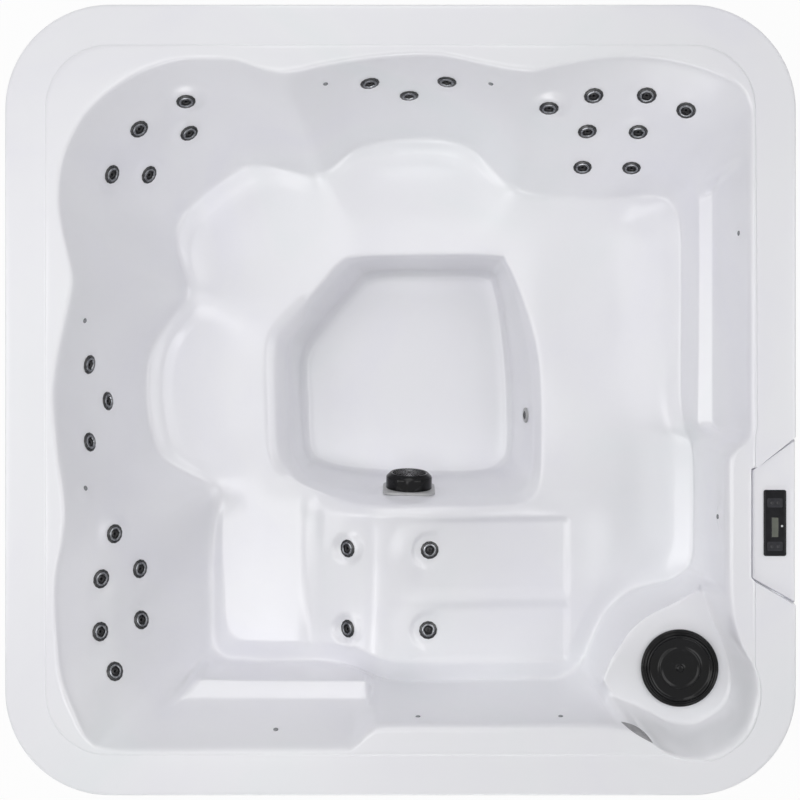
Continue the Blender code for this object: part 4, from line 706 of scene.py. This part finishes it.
def ramp(tree, value, stops):
    made = add_node(tree, "ValToRGB", Fac=value)
    ends = made.color_ramp.elements
    ends[0].position, ends[1].position = stops[0][0], stops[-1][0]
    ends[0].color, ends[1].color = (*stops[0][1], 1.0), (*stops[-1][1], 1.0)
    for place, colour in stops[1:-1]:
        ends.new(place).color = (*colour, 1.0)
    return made.outputs["Color"]


def spread(tree, value, low, high):
    start, end = NOISE_RANGE
    made = add_node(tree, "MapRange", Value=value, From_Min=start, From_Max=end, To_Min=low, To_Max=high)
    return made.outputs["Result"]


def bumps(tree, value, strength):
    return add_node(tree, "Bump", Height=value, Strength=strength, Distance=0.001).outputs["Normal"]


def moulded(
    name, dark, light, scale, roughness, grain, strength, stretch=(1.0, 1.0, 1.0), metallic=0.0, coat=0.0,
    level=0.5,
):
    """A plastic, paint or metal whose colour, roughness and surface vary a little."""
    dark, light = ([value / 1000 for value in colour] for colour in (dark, light))
    low, high = (value / 100 for value in roughness)
    made, tree, shader = new_material(name)
    place = add_node(tree, "TexCoord").outputs["Object"]
    source = add_node(tree, "Mapping", Vector=place, Scale=stretch).outputs["Vector"]
    start, end = NOISE_RANGE
    set_inputs(
        tree, shader, Metallic=metallic, Coat_Weight=coat, Coat_Roughness=0.08, Specular_IOR_Level=level,
        Base_Color=ramp(tree, noise(tree, source, scale, 4.0, 0.4), ((start, dark), (end, light))),
        Roughness=spread(tree, noise(tree, source, scale * 3.1, 2.0), low, high),
        Normal=bumps(tree, noise(tree, source, grain, 2.0), strength / 100),
    )
    return made


def pearl_acrylic():
    """Glossy pearl acrylic: a soft marbling of silver white, lavender and pale green, under a clear gloss."""
    made, tree, shader = new_material("acrylic")
    place = add_node(tree, "TexCoord").outputs["Object"]
    set_inputs(
        tree, shader, Coat_Weight=0.5, Coat_Roughness=0.14,
        Base_Color=ramp(tree, noise(tree, place, 1.7, 5.0, 1.4), PEARL_TINTS),
        Roughness=spread(tree, noise(tree, place, 26.0, 3.0), 0.28, 0.35),
        Normal=bumps(tree, noise(tree, place, 95.0, 2.0), 0.03),
    )
    return made


NOISE_RANGE = (0.3, 0.7)
PEARL_TINTS = (
    (0.30, (0.832, 0.830, 0.880)), (0.46, (0.851, 0.850, 0.886)), (0.58, (0.857, 0.860, 0.889)),
    (0.72, (0.840, 0.856, 0.880)),
)
ACRYLIC = pearl_acrylic()
# Each with its dark and light colour in thousandths, the patches' scale, the roughness in percent, and the
# grain's scale and strength in percent
CHARCOAL = moulded("jet_charcoal", (14, 15, 17), (30, 31, 34), 90, (16, 26), 600, 10)
SILVER = moulded("jet_silver", (130, 135, 145), (240, 245, 260), 140, (12, 22), 900, 5, metallic=0.9)
NOZZLE = moulded("jet_nozzle", (8, 8, 10), (18, 18, 21), 120, (25, 38), 700, 10)
PIPE = moulded("pipe_white", (740, 740, 720), (820, 820, 800), 30, (38, 52), 300, 10)
CABLE = moulded("cable_black", (15, 15, 16), (30, 30, 32), 60, (50, 70), 400, 25)
PANEL = moulded("panel_black", (7, 7, 9), (13, 13, 16), 40, (7, 13), 500, 2, level=0.15)
PAD = moulded("panel_pad", (22, 22, 27), (36, 36, 43), 60, (10, 18), 650, 4, level=0.2)
GLASS = moulded("window_grey", (70, 78, 58), (96, 104, 78), 55, (6, 12), 260, 2, coat=0.6)
BUTTON = moulded("button_grey", (26, 26, 30), (44, 44, 50), 150, (12, 20), 900, 5, level=0.2)
LAMP = moulded("panel_lamp_white", (520, 540, 560), (660, 680, 700), 300, (12, 22), 900, 4)
LID = moulded("lid_black", (2, 2, 2), (4, 4, 5), 18, (8, 14), 420, 1, level=0.2)
# Painted shade: the dark grey of the patch laid where the shell under the rim beside the filter is in shade
SHADE_PATCH_GREY = moulded("painted_shade_grey", (260, 260, 270), (350, 350, 360), 60, (60, 75), 500, 10)
PAPER = moulded("cartridge_cream", (660, 650, 590), (790, 780, 720), 45, (75, 90), 500, 45)
FITTING = moulded("fitting_grey", (360, 360, 365), (440, 440, 445), 50, (32, 46), 420, 10)
LENS = moulded("light_lens", (160, 170, 180), (260, 270, 280), 260, (8, 16), 800, 3, coat=0.5)
CABINET = moulded(
    "cabinet_grey", (70, 68, 66), (125, 120, 116), 5, (46, 62), 55, 35, stretch=(1.0, 1.0, 16.0)
)
STEEL = moulded("frame_steel", (500, 510, 530), (620, 630, 650), 22, (32, 48), 350, 15, metallic=0.9)
BASE = moulded("base_black", (22, 22, 23), (40, 40, 41), 16, (52, 70), 220, 35)
PUMP = moulded("pump_black", (30, 30, 33), (52, 52, 56), 35, (40, 58), 320, 25)
HEATER = moulded("heater_steel", (560, 570, 580), (680, 690, 700), 30, (18, 32), 420, 6, metallic=1.0)
BOX = moulded("box_grey", (260, 270, 280), (340, 350, 360), 24, (42, 58), 320, 20)


# Pieces. Profiles and the rings of plates are in tenths of a millimetre

def new_object(name, data):
    made = bpy.data.objects.new(name, data)
    bpy.context.scene.collection.objects.link(made)
    return made


def smooth_mesh(name, mesh, materials, sharp_deg):
    bmesh.ops.recalc_face_normals(mesh, faces=mesh.faces)
    data = bpy.data.meshes.new(name)
    mesh.to_mesh(data)
    mesh.free()
    data.shade_smooth()
    data.set_sharp_from_angle(angle=radians(sharp_deg))
    for material in materials:
        data.materials.append(material)
    return data


def place_piece(name, data, body, nodes, place=None):
    """Makes an object that rides on the body, and stands for the nodes if any are named."""
    made = new_object(name, data)
    if place:
        made.matrix_world = place
    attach(made, body)
    if nodes:
        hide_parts(*nodes)


def add_piece(name, mesh, materials, body, nodes=(), sharp_deg=35.0):
    place_piece(name, smooth_mesh(name, mesh, materials, sharp_deg), body, nodes)


def softened(profile, steps=4):
    """The profile in metres, with each corner cut by a curve over its bite, the point's third number."""
    points = [[value / PROFILE_UNITS for value in point] for point in profile]
    result = []
    for i, (radius, height, bite) in enumerate(points):
        here = Vector((radius, height))
        if not bite or i in (0, len(points) - 1):
            result.append((radius, height))
            continue
        before = Vector(points[i - 1][:2]) - here
        after = Vector(points[i + 1][:2]) - here
        start = here + before.normalized() * min(bite, before.length * 0.5)
        end = here + after.normalized() * min(bite, after.length * 0.5)
        for step in range(steps + 1):
            t = step / steps
            spot = start * (1 - t) ** 2 + here * (2 * t * (1 - t)) + end * t**2
            result.append((spot.x, spot.y))
    return result


def lathe(mesh, profile, sides, place, index=0, wave=(0, 0.0, 0.0, 0.0)):
    """Adds a surface of revolution. A wave says how often, how deep and between which radii it shrinks."""
    lobes, depth, inner, outer = wave
    rings = []
    for radius, height in softened(profile):
        if radius == 0:
            rings.append([mesh.verts.new(place @ Vector((0, 0, height)))])
            continue
        ring = []
        for k in range(sides):
            turn = 2 * pi * k / sides
            reach = radius
            if inner <= radius <= outer:
                reach -= depth * (0.5 - 0.5 * cos(lobes * turn))
            spot = Vector((reach * cos(turn), reach * sin(turn), height))
            ring.append(mesh.verts.new(place @ spot))
        rings.append(ring)
    for lower, upper in zip(rings, rings[1:]):
        for k in range(sides):
            j = (k + 1) % sides
            if len(lower) == 1:
                corners = (lower[0], upper[j], upper[k])
            elif len(upper) == 1:
                corners = (lower[k], lower[j], upper[0])
            else:
                corners = (lower[k], lower[j], upper[j], upper[k])
            mesh.faces.new(corners).material_index = index


def turned(name, profiles, sides, place, materials, body, nodes=(), sharp_deg=35.0):
    """Adds a piece of one or more surfaces of revolution, each of its own material."""
    mesh = bmesh.new()
    for index, profile in enumerate(profiles):
        lathe(mesh, profile, sides, place, index)
    add_piece(name, mesh, materials, body, nodes, sharp_deg)


def plate(mesh, centre, size, rings, index=0, steps=8):
    """Adds a rounded rectangle of a width, length and corner radius. A ring is (its inset, its height)."""
    width, length, corner = size
    levels = []
    for ring in rings:
        inset, height = (value / PROFILE_UNITS for value in ring)
        radius = max(corner - inset, corner * LEAST_CORNER_SHARE)
        x, y = width / 2 - inset - radius, length / 2 - inset - radius
        middles = [(centre[0] + a * x, centre[1] + b * y) for a, b in ((1, 1), (-1, 1), (-1, -1), (1, -1))]
        levels.append([mesh.verts.new((*spot, height)) for spot in rounded_loop(middles, radius, steps)])
    join_levels(mesh, levels, index)


def join_levels(mesh, levels, index=0):
    """Joins loops of as many points each by walls, and closes the first and the last."""
    count = len(levels[0])
    for lower, upper in zip(levels, levels[1:]):
        for k in range(count):
            j = (k + 1) % count
            mesh.faces.new((lower[k], lower[j], upper[j], upper[k])).material_index = index
    mesh.faces.new(list(reversed(levels[0]))).material_index = index
    mesh.faces.new(levels[-1]).material_index = index


def add_bar(mesh, place, low, high, edge):
    """Adds a small bar with its upper edges cut."""
    levels = []
    for inset, height in ((0.0, low.z), (0.0, high.z - edge), (edge, high.z)):
        corners = (
            (low.x + inset, low.y + inset), (high.x - inset, low.y + inset),
            (high.x - inset, high.y - inset), (low.x + inset, high.y - inset),
        )
        levels.append([mesh.verts.new(place @ Vector((x, y, height))) for x, y in corners])
    join_levels(mesh, levels)


def axis_place(place, way):
    """A matrix whose Z runs along the way from the place."""
    return Matrix.Translation(Vector(place)) @ Vector(way).to_track_quat("Z", "Y").to_matrix().to_4x4()


def in_floor(edge):
    return max(vert.co.z for vert in edge.verts) < TUB_HEIGHT - FOOTWELL_DEPTH + FIT_GAP


def build_shell():
    """The moulded shell, fine and smooth, with flat seats and holes for its fittings."""
    angles = fine_angles()
    degrees = (np.degrees(angles) + 180.0) % 360.0 - 180.0
    points, ring = rounded_profiles(control_rings(angles), degrees)
    points = blur_folds(points, ring, degrees)
    add_relief(points, ring, degrees)
    for name, (place, way) in JETS.items():
        flatten(points, place, way, *(KNEE_JET_FLAT if name in KNEE_JETS else JET_FLAT))
        if name in CALF_JETS:
            raise_lip(points, place, way)
    for place, way in LIGHTS:
        flatten(points, place, way, *LIGHT_FLAT)
    flatten(points, SUCTION_PLACE, SUCTION_WAY, *SUCTION_FLAT)
    flatten(points, RETURN_PLACE, RETURN_WAY, *RETURN_FLAT)
    away = np.linalg.norm(points[..., :2] - np.mean(SHADE_PATCH_ENDS, axis=0), axis=-1)
    near, far = SHADE_PATCH_DENT_RADII
    points[..., 2] -= SHADE_PATCH_DENT * smoothstep(away, far, near) * (points[..., 2] > TUB_HEIGHT / 2)
    rows, columns = points.shape[:2]
    verts = points.reshape(-1, 3)
    row = np.arange(rows - 1)[:, None] * columns
    here = np.arange(columns)[None, :]
    there = (here + 1) % columns
    faces = np.stack([row + here, row + there, row + columns + there, row + columns + here], axis=-1)
    holes = [(place, way, JET_HOLE) for place, way in JETS.values()]
    holes += [
        (FILTER_PLACE, (0.0, 0.0, 1.0), FILTER_HOLE),
        (SUCTION_PLACE, SUCTION_WAY, SUCTION_HOLE),
        (RETURN_PLACE, RETURN_WAY, RETURN_HOLE),
    ]
    verts, faces = open_holes(verts, faces.reshape(-1, 4), holes)
    build_shade_patch(verts, faces)
    data = bpy.data.meshes.new("shell")
    data.from_pydata(verts.tolist(), [], faces.tolist())
    mesh = bmesh.new()
    mesh.from_mesh(data)
    bpy.data.meshes.remove(data)
    floor = [edge for edge in mesh.edges if edge.is_boundary and in_floor(edge)]
    bmesh.ops.holes_fill(mesh, edges=floor, sides=0)
    add_piece("shell", mesh, [ACRYLIC], "tub", ["acrylic_shell"], 60.0)


def build_jets():
    """Each jet's turning face: a scalloped bezel, a satin ring and a nozzle in a five-sided cup."""
    mesh = bmesh.new()
    bezel = (
        (150, -260, 0), (150, 4, 0), (254, 4, 2), (254, 17, 8), (236, 31, 8), (196, 41, 5), (188, 30, 0),
    )
    ring = ((188, 30, 0), (183, 46, 6), (150, 55, 6), (136, 51, 5), (126, 26, 0))
    cup = (
        (126, 26, 0), (118, -10, 8), (100, -20, 6), (85, 0, 10), (50, 14, 8), (42, 6, 3), (40, -60, 0),
        (0, -60, 0),
    )
    waves = ((12, 0.0007, 0.0215, 0.0260), (5, 0.0009, 0.0100, 0.0142), (5, 0.0009, 0.0112, 0.0142))
    for index, (profile, wave) in enumerate(zip((bezel, ring, cup), waves)):
        lathe(mesh, profile, 60, Matrix.Identity(4), index, wave)
    data = smooth_mesh("jet_face", mesh, [CHARCOAL, SILVER, NOZZLE], 38.0)
    for name, (place, way) in JETS.items():
        spin = Matrix.Rotation(radians(37.0 * len(name) + 72.0 * int(name[-1])), 4, "Z")
        place_piece(f"{name}_face", data, name, [name], axis_place(place, way) @ spin)


def build_lights():
    """The nine lights' lenses, each in a small bezel."""
    bezel = ((40, -10, 0), (66, -10, 0), (66, 8, 4), (58, 18, 4), (49, 16, 0))
    lens = ((49, 16, 0), (42, 28, 12), (20, 34, 10), (0, 35, 0))
    for number, (place, way) in enumerate(LIGHTS, 1):
        at = axis_place(place, way)
        turned(f"light_lens_{number}", (bezel, lens), 28, at, [SILVER, LENS], "tub")


def build_panel():
    """The control panel: a bevelled bezel with two raised pads, a window in its frame, a lamp and buttons."""
    x, y = PANEL_CENTRE
    window = (x, y + WINDOW_SHIFT)
    mesh = bmesh.new()
    bezel = (
        (60, 7680), (60, 7882), (0, 7884), (0, 7912), (4, 7919), (12, 7923), (34, 7921), (42, 7915),
    )
    plate(mesh, (x, y), BEZEL_SIZE, bezel)
    for shift in PAD_SHIFTS:
        plate(mesh, (x, y + shift), PAD_SIZE, ((0, 7912), (0, 7917), (5, 7921)), 1)
    plate(mesh, window, FRAME_SIZE, ((0, 7912), (0, 7920), (6, 7924)))
    add_piece("panel_bezel", mesh, [PANEL, PAD], "tub", ["control_panel_housing"])

    mesh = bmesh.new()
    plate(mesh, window, WINDOW_SIZE, ((0, 7910), (0, 7925), (4, 7928)))
    add_piece("panel_glass", mesh, [GLASS], "tub", ["panel_window"])

    at = Matrix.Translation((x + LAMP_SHIFT[0], y + LAMP_SHIFT[1], PANEL_LEVEL))
    dot = ((28, -10, 0), (28, 5, 3), (16, 11, 4), (0, 12, 0))
    turned("panel_lamp", [dot], 24, at, [LAMP], "tub")

    cap = ((0, -20, 0), (54, -20, 0), (54, 9, 6), (46, 15, 5), (28, 11, 10), (0, 10, 0))
    for number, (shift_x, shift_y) in enumerate(BUTTON_SHIFTS, 1):
        name = f"panel_button_{number}"
        at = Matrix.Translation((x + shift_x, y + shift_y, BUTTON_LEVEL))
        turned(f"{name}_cap", [cap], 40, at, [BUTTON], name, [name])


def build_filter():
    """The canister, its ridged lid, and the pleated cartridge."""
    at = Matrix.Translation(FILTER_PLACE)
    canister = (
        (0, -3040, 0), (860, -3040, 40), (860, 4, 0), (990, 4, 4), (990, 34, 8), (820, 34, 10),
        (820, -3000, 30), (0, -3000, 0),
    )
    turned("filter_canister", [canister], 96, at, [FITTING], "tub", ["filter_housing"])

    lid = (
        (0, 40, 0), (776, 40, 0), (776, -100, 0), (814, -100, 8), (814, 38, 0), (1008, 38, 4), (1010, 86, 30),
        (985, 130, 24), (955, 132, 16), (938, 112, 10), (922, 112, 10), (905, 134, 16), (885, 134, 14),
        (868, 110, 10), (850, 142, 22), (815, 144, 26), (780, 102, 24), (690, 94, 40), (560, 100, 40),
        (525, 128, 26), (485, 128, 26), (450, 106, 24), (300, 116, 60), (150, 112, 30), (100, 120, 12),
        (88, 152, 16), (60, 164, 16), (0, 168, 0),
    )
    turned("filter_lid_cap", [lid], 144, at, [LID], "filter_lid", ["filter_lid"], 45.0)

    mesh = bmesh.new()
    foot = ((0, -2996, 0), (660, -2996, 10), (680, -2966, 10), (680, -2876, 10), (0, -2866, 0))
    head = (
        (0, -626, 0), (680, -616, 10), (680, -526, 10), (660, -496, 10), (210, -496, 10), (200, -396, 20),
        (170, -376, 10), (0, -381, 0),
    )
    for cap in (foot, head):
        lathe(mesh, cap, 72, at)
    loops = [[], []]
    for k in range(2 * PLEATS):
        turn = pi * k / PLEATS
        radius = PLEAT_RADII[k % 2]
        for loop, height in zip(loops, PLEAT_HEIGHTS):
            spot = Vector((radius * cos(turn), radius * sin(turn), height))
            loop.append(mesh.verts.new(at @ spot))
    lower, upper = loops
    for k in range(2 * PLEATS):
        j = (k + 1) % (2 * PLEATS)
        mesh.faces.new((lower[k], lower[j], upper[j], upper[k])).material_index = 1
    nodes = ["filter_cartridge"]
    add_piece("cartridge_pleats", mesh, [PIPE, PAPER], "filter_cartridge", nodes)


def build_suction():
    """The ribbed suction cover on its wall flange, and the return fitting."""
    at = axis_place(SUCTION_PLACE, SUCTION_WAY)
    mesh = bmesh.new()
    plate(mesh, (0.0, 0.0), FLANGE_SIZE, ((0, 1), (0, 50), (6, 62), (22, 72)))
    mesh.transform(at)
    add_piece("suction_flange", mesh, [FITTING], "tub")

    mesh = bmesh.new()
    cover = (
        (0, 74, 0), (660, 74, 5), (660, 400, 30), (540, 520, 30), (500, 512, 10), (460, 500, 10),
        (120, 500, 10), (105, 518, 10), (60, 520, 10), (50, 490, 5), (0, 490, 0),
    )
    lathe(mesh, cover, 120, at)
    for rib in range(RIBS):
        turn = Matrix.Rotation(2 * pi * rib / RIBS, 4, "Z")
        low, high = Vector((0.0135, -0.0014, 0.0495)), Vector((0.0475, 0.0014, 0.0518))
        add_bar(mesh, at @ turn, low, high, 0.0006)
    add_piece("suction_grille", mesh, [LID], "tub", ["suction_cover"])

    at = axis_place(RETURN_PLACE, RETURN_WAY)
    ring = ((0, 2, 0), (219, 2, 0), (219, 34, 12), (190, 54, 12), (150, 58, 8), (135, 54, 4), (0, 52, 0))
    eye = ((125, 52, 0), (105, 64, 12), (65, 72, 10), (58, 60, 0), (0, 56, 0))
    turned("return_ring", (ring, eye), 60, at, [FITTING, CHARCOAL], "tub")


def build_cabinet():
    """The four cabinet panels, each with the corner after it, in planks with fine grooves between them."""
    low, high = CABINET_SPAN
    inset, rise = CABINET_BEVEL
    levels = [(CABINET_WALL, low), (inset, low), (0.0, low + rise)]
    for plank in range(1, PLANKS):
        middle = low + (high - low) * plank / PLANKS
        for shift, depth in GROOVE_PROFILE:
            levels.append((GROOVE_DEPTH * depth, middle + shift * GROOVE))
    levels += [(0.0, high - rise), (inset, high), (CABINET_WALL, high)]
    for quarter, side in enumerate(("right", "back", "left", "front")):
        mesh = bmesh.new()
        rows = []
        for depth, height in levels:
            whole = rounded_square(CABINET_INSET + depth, CABINET_STEPS)
            first = quarter * (CABINET_STEPS + 1)
            corner = whole[first : first + CABINET_STEPS + 1]
            before = whole[first - 1]
            way = corner[0] - before
            start = before + way / np.linalg.norm(way) * CABINET_GAP
            run = [start + (corner[0] - start) * k / 6 for k in range(6)] + list(corner)
            rows.append([mesh.verts.new((x, y, height)) for x, y in run])
        join_levels(mesh, list(zip(*rows)))
        name = f"cabinet_panel_{side}"
        add_piece(f"{name}_planks", mesh, [CABINET], "tub", [name], 25.0)

    mesh = bmesh.new()
    side = 2 * (TUB_HALF - BASE_INSET)
    rings = ((40, 0), (0, 40), (0, 270), (30, 300))
    plate(mesh, (0, 0), (side, side, CORNER_RADIUS - BASE_INSET), rings, 0, CABINET_STEPS)
    add_piece("base_tray", mesh, [BASE], "tub", ["base_pan"])


def build_drain():
    """The drain valve's flange and its ribbed cap with a grip."""
    at = Matrix.Translation(DRAIN_PLACE) @ Matrix.Rotation(radians(90.0), 4, "X")
    valve = (
        (0, -600, 0), (160, -600, 10), (160, 4, 0), (240, 4, 2), (240, 20, 6), (226, 30, 4), (0, 30, 0),
    )
    turned("drain_flange", [valve], 48, at, [FITTING], "tub", ["drain_valve"])
    mesh = bmesh.new()
    cap = ((0, 34, 0), (210, 34, 2), (210, 62, 8), (190, 74, 8), (0, 74, 0))
    lathe(mesh, cap, 96, at, 0, (24, 0.0005, 0.0200, 0.0220))
    add_bar(mesh, at, Vector((-0.017, -0.003, 0.0060)), Vector((0.017, 0.003, 0.0113)), 0.0010)
    add_piece("drain_cap_grip", mesh, [CHARCOAL], "drain_cap", ["drain_cap"])


def dress_nodes():
    """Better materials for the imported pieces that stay."""
    finishes = {
        "perimeter_light_string": CABLE, "suction_body": FITTING, "return_fitting": FITTING, "jet_pump": PUMP,
        "pump_rotor": PUMP, "heater_tube": HEATER, "control_box": BOX, "cabinet_frame": STEEL,
    }
    for name, node in frame["nodes"].items():
        finish = PIPE if name.endswith("_manifold") else finishes.get(name)
        if finish:
            for slot in node.material_slots:
                slot.material = finish


# Stage

def combined(tree, operation, first, second):
    made = add_node(tree, "Math")
    made.operation = operation
    feed(tree, made.inputs[0], first)
    feed(tree, made.inputs[1], second)
    return made.outputs[0]


def shown_to_camera(tree):
    """1 for rays from the camera, and for those that gloss and glass send on."""
    path = add_node(tree, "LightPath").outputs
    seen = combined(tree, "MAXIMUM", path["Is Camera Ray"], path["Is Glossy Ray"])
    return combined(tree, "MAXIMUM", seen, path["Is Transmission Ray"])


def mixed(tree, share, first, second):
    made = add_node(tree, "MixShader", Fac=share)
    feed(tree, made.inputs[1], first.outputs[0])
    feed(tree, made.inputs[2], second.outputs[0])
    return made.outputs[0]


def build_world():
    world = bpy.data.worlds.new("studio")
    bpy.context.scene.world = world
    world.use_nodes = True
    tree = world.node_tree
    tree.nodes.clear()
    soft = add_node(tree, "Background", Color=(0.98, 0.985, 1.0, 1.0), Strength=AMBIENT)
    white = add_node(tree, "Background", Color=(1.0, 1.0, 1.0, 1.0), Strength=1.0)
    add_node(tree, "OutputWorld", Surface=mixed(tree, shown_to_camera(tree), soft, white))


def build_floor():
    """A wide pale floor that shows nearly white and keeps the tub's shadow."""
    ground = bmesh.new()
    bmesh.ops.create_grid(ground, x_segments=8, y_segments=8, size=FLOOR_SIZE)
    data = bpy.data.meshes.new("studio_floor")
    ground.to_mesh(data)
    ground.free()
    floor = new_object("studio_floor", data)
    made, tree, shader = new_material("studio_floor")
    set_inputs(tree, shader, Base_Color=(0.86, 0.86, 0.86, 1.0), Roughness=0.9, Specular_IOR_Level=0.0)
    glow = add_node(tree, "Emission", Strength=1.0)
    share = combined(tree, "MULTIPLY", shown_to_camera(tree), FLOOR_GLOW)
    set_inputs(tree, tree.nodes["Material Output"], Surface=mixed(tree, share, shader, glow))
    data.materials.append(made)


def add_lamp(name, place, size, energy):
    lamp = bpy.data.lights.new(name, "AREA")
    lamp.shape = "RECTANGLE"
    lamp.size, lamp.size_y = size
    lamp.energy = energy
    made = new_object(name, lamp)
    made.location = place
    if not name.startswith("top"):
        way = Vector(LAMPS_AIM) - Vector(place)
        made.rotation_mode = "QUATERNION"
        made.rotation_quaternion = way.to_track_quat("-Z", "Y")


def build_camera():
    camera = bpy.data.cameras.new("camera")
    camera.lens = CAMERA_LENS
    camera.sensor_width = 36.0
    made = new_object("camera", camera)
    made.location = CAMERA_PLACE
    bpy.context.scene.camera = made


def main():
    build_camera()
    build_shell()
    build_jets()
    build_lights()
    build_panel()
    build_filter()
    build_suction()
    build_cabinet()
    build_drain()
    dress_nodes()
    build_world()
    build_floor()
    for name, (place, size, energy) in LAMPS.items():
        add_lamp(name, place, size, energy)
    bpy.context.scene.view_settings.view_transform = "Standard"


main()
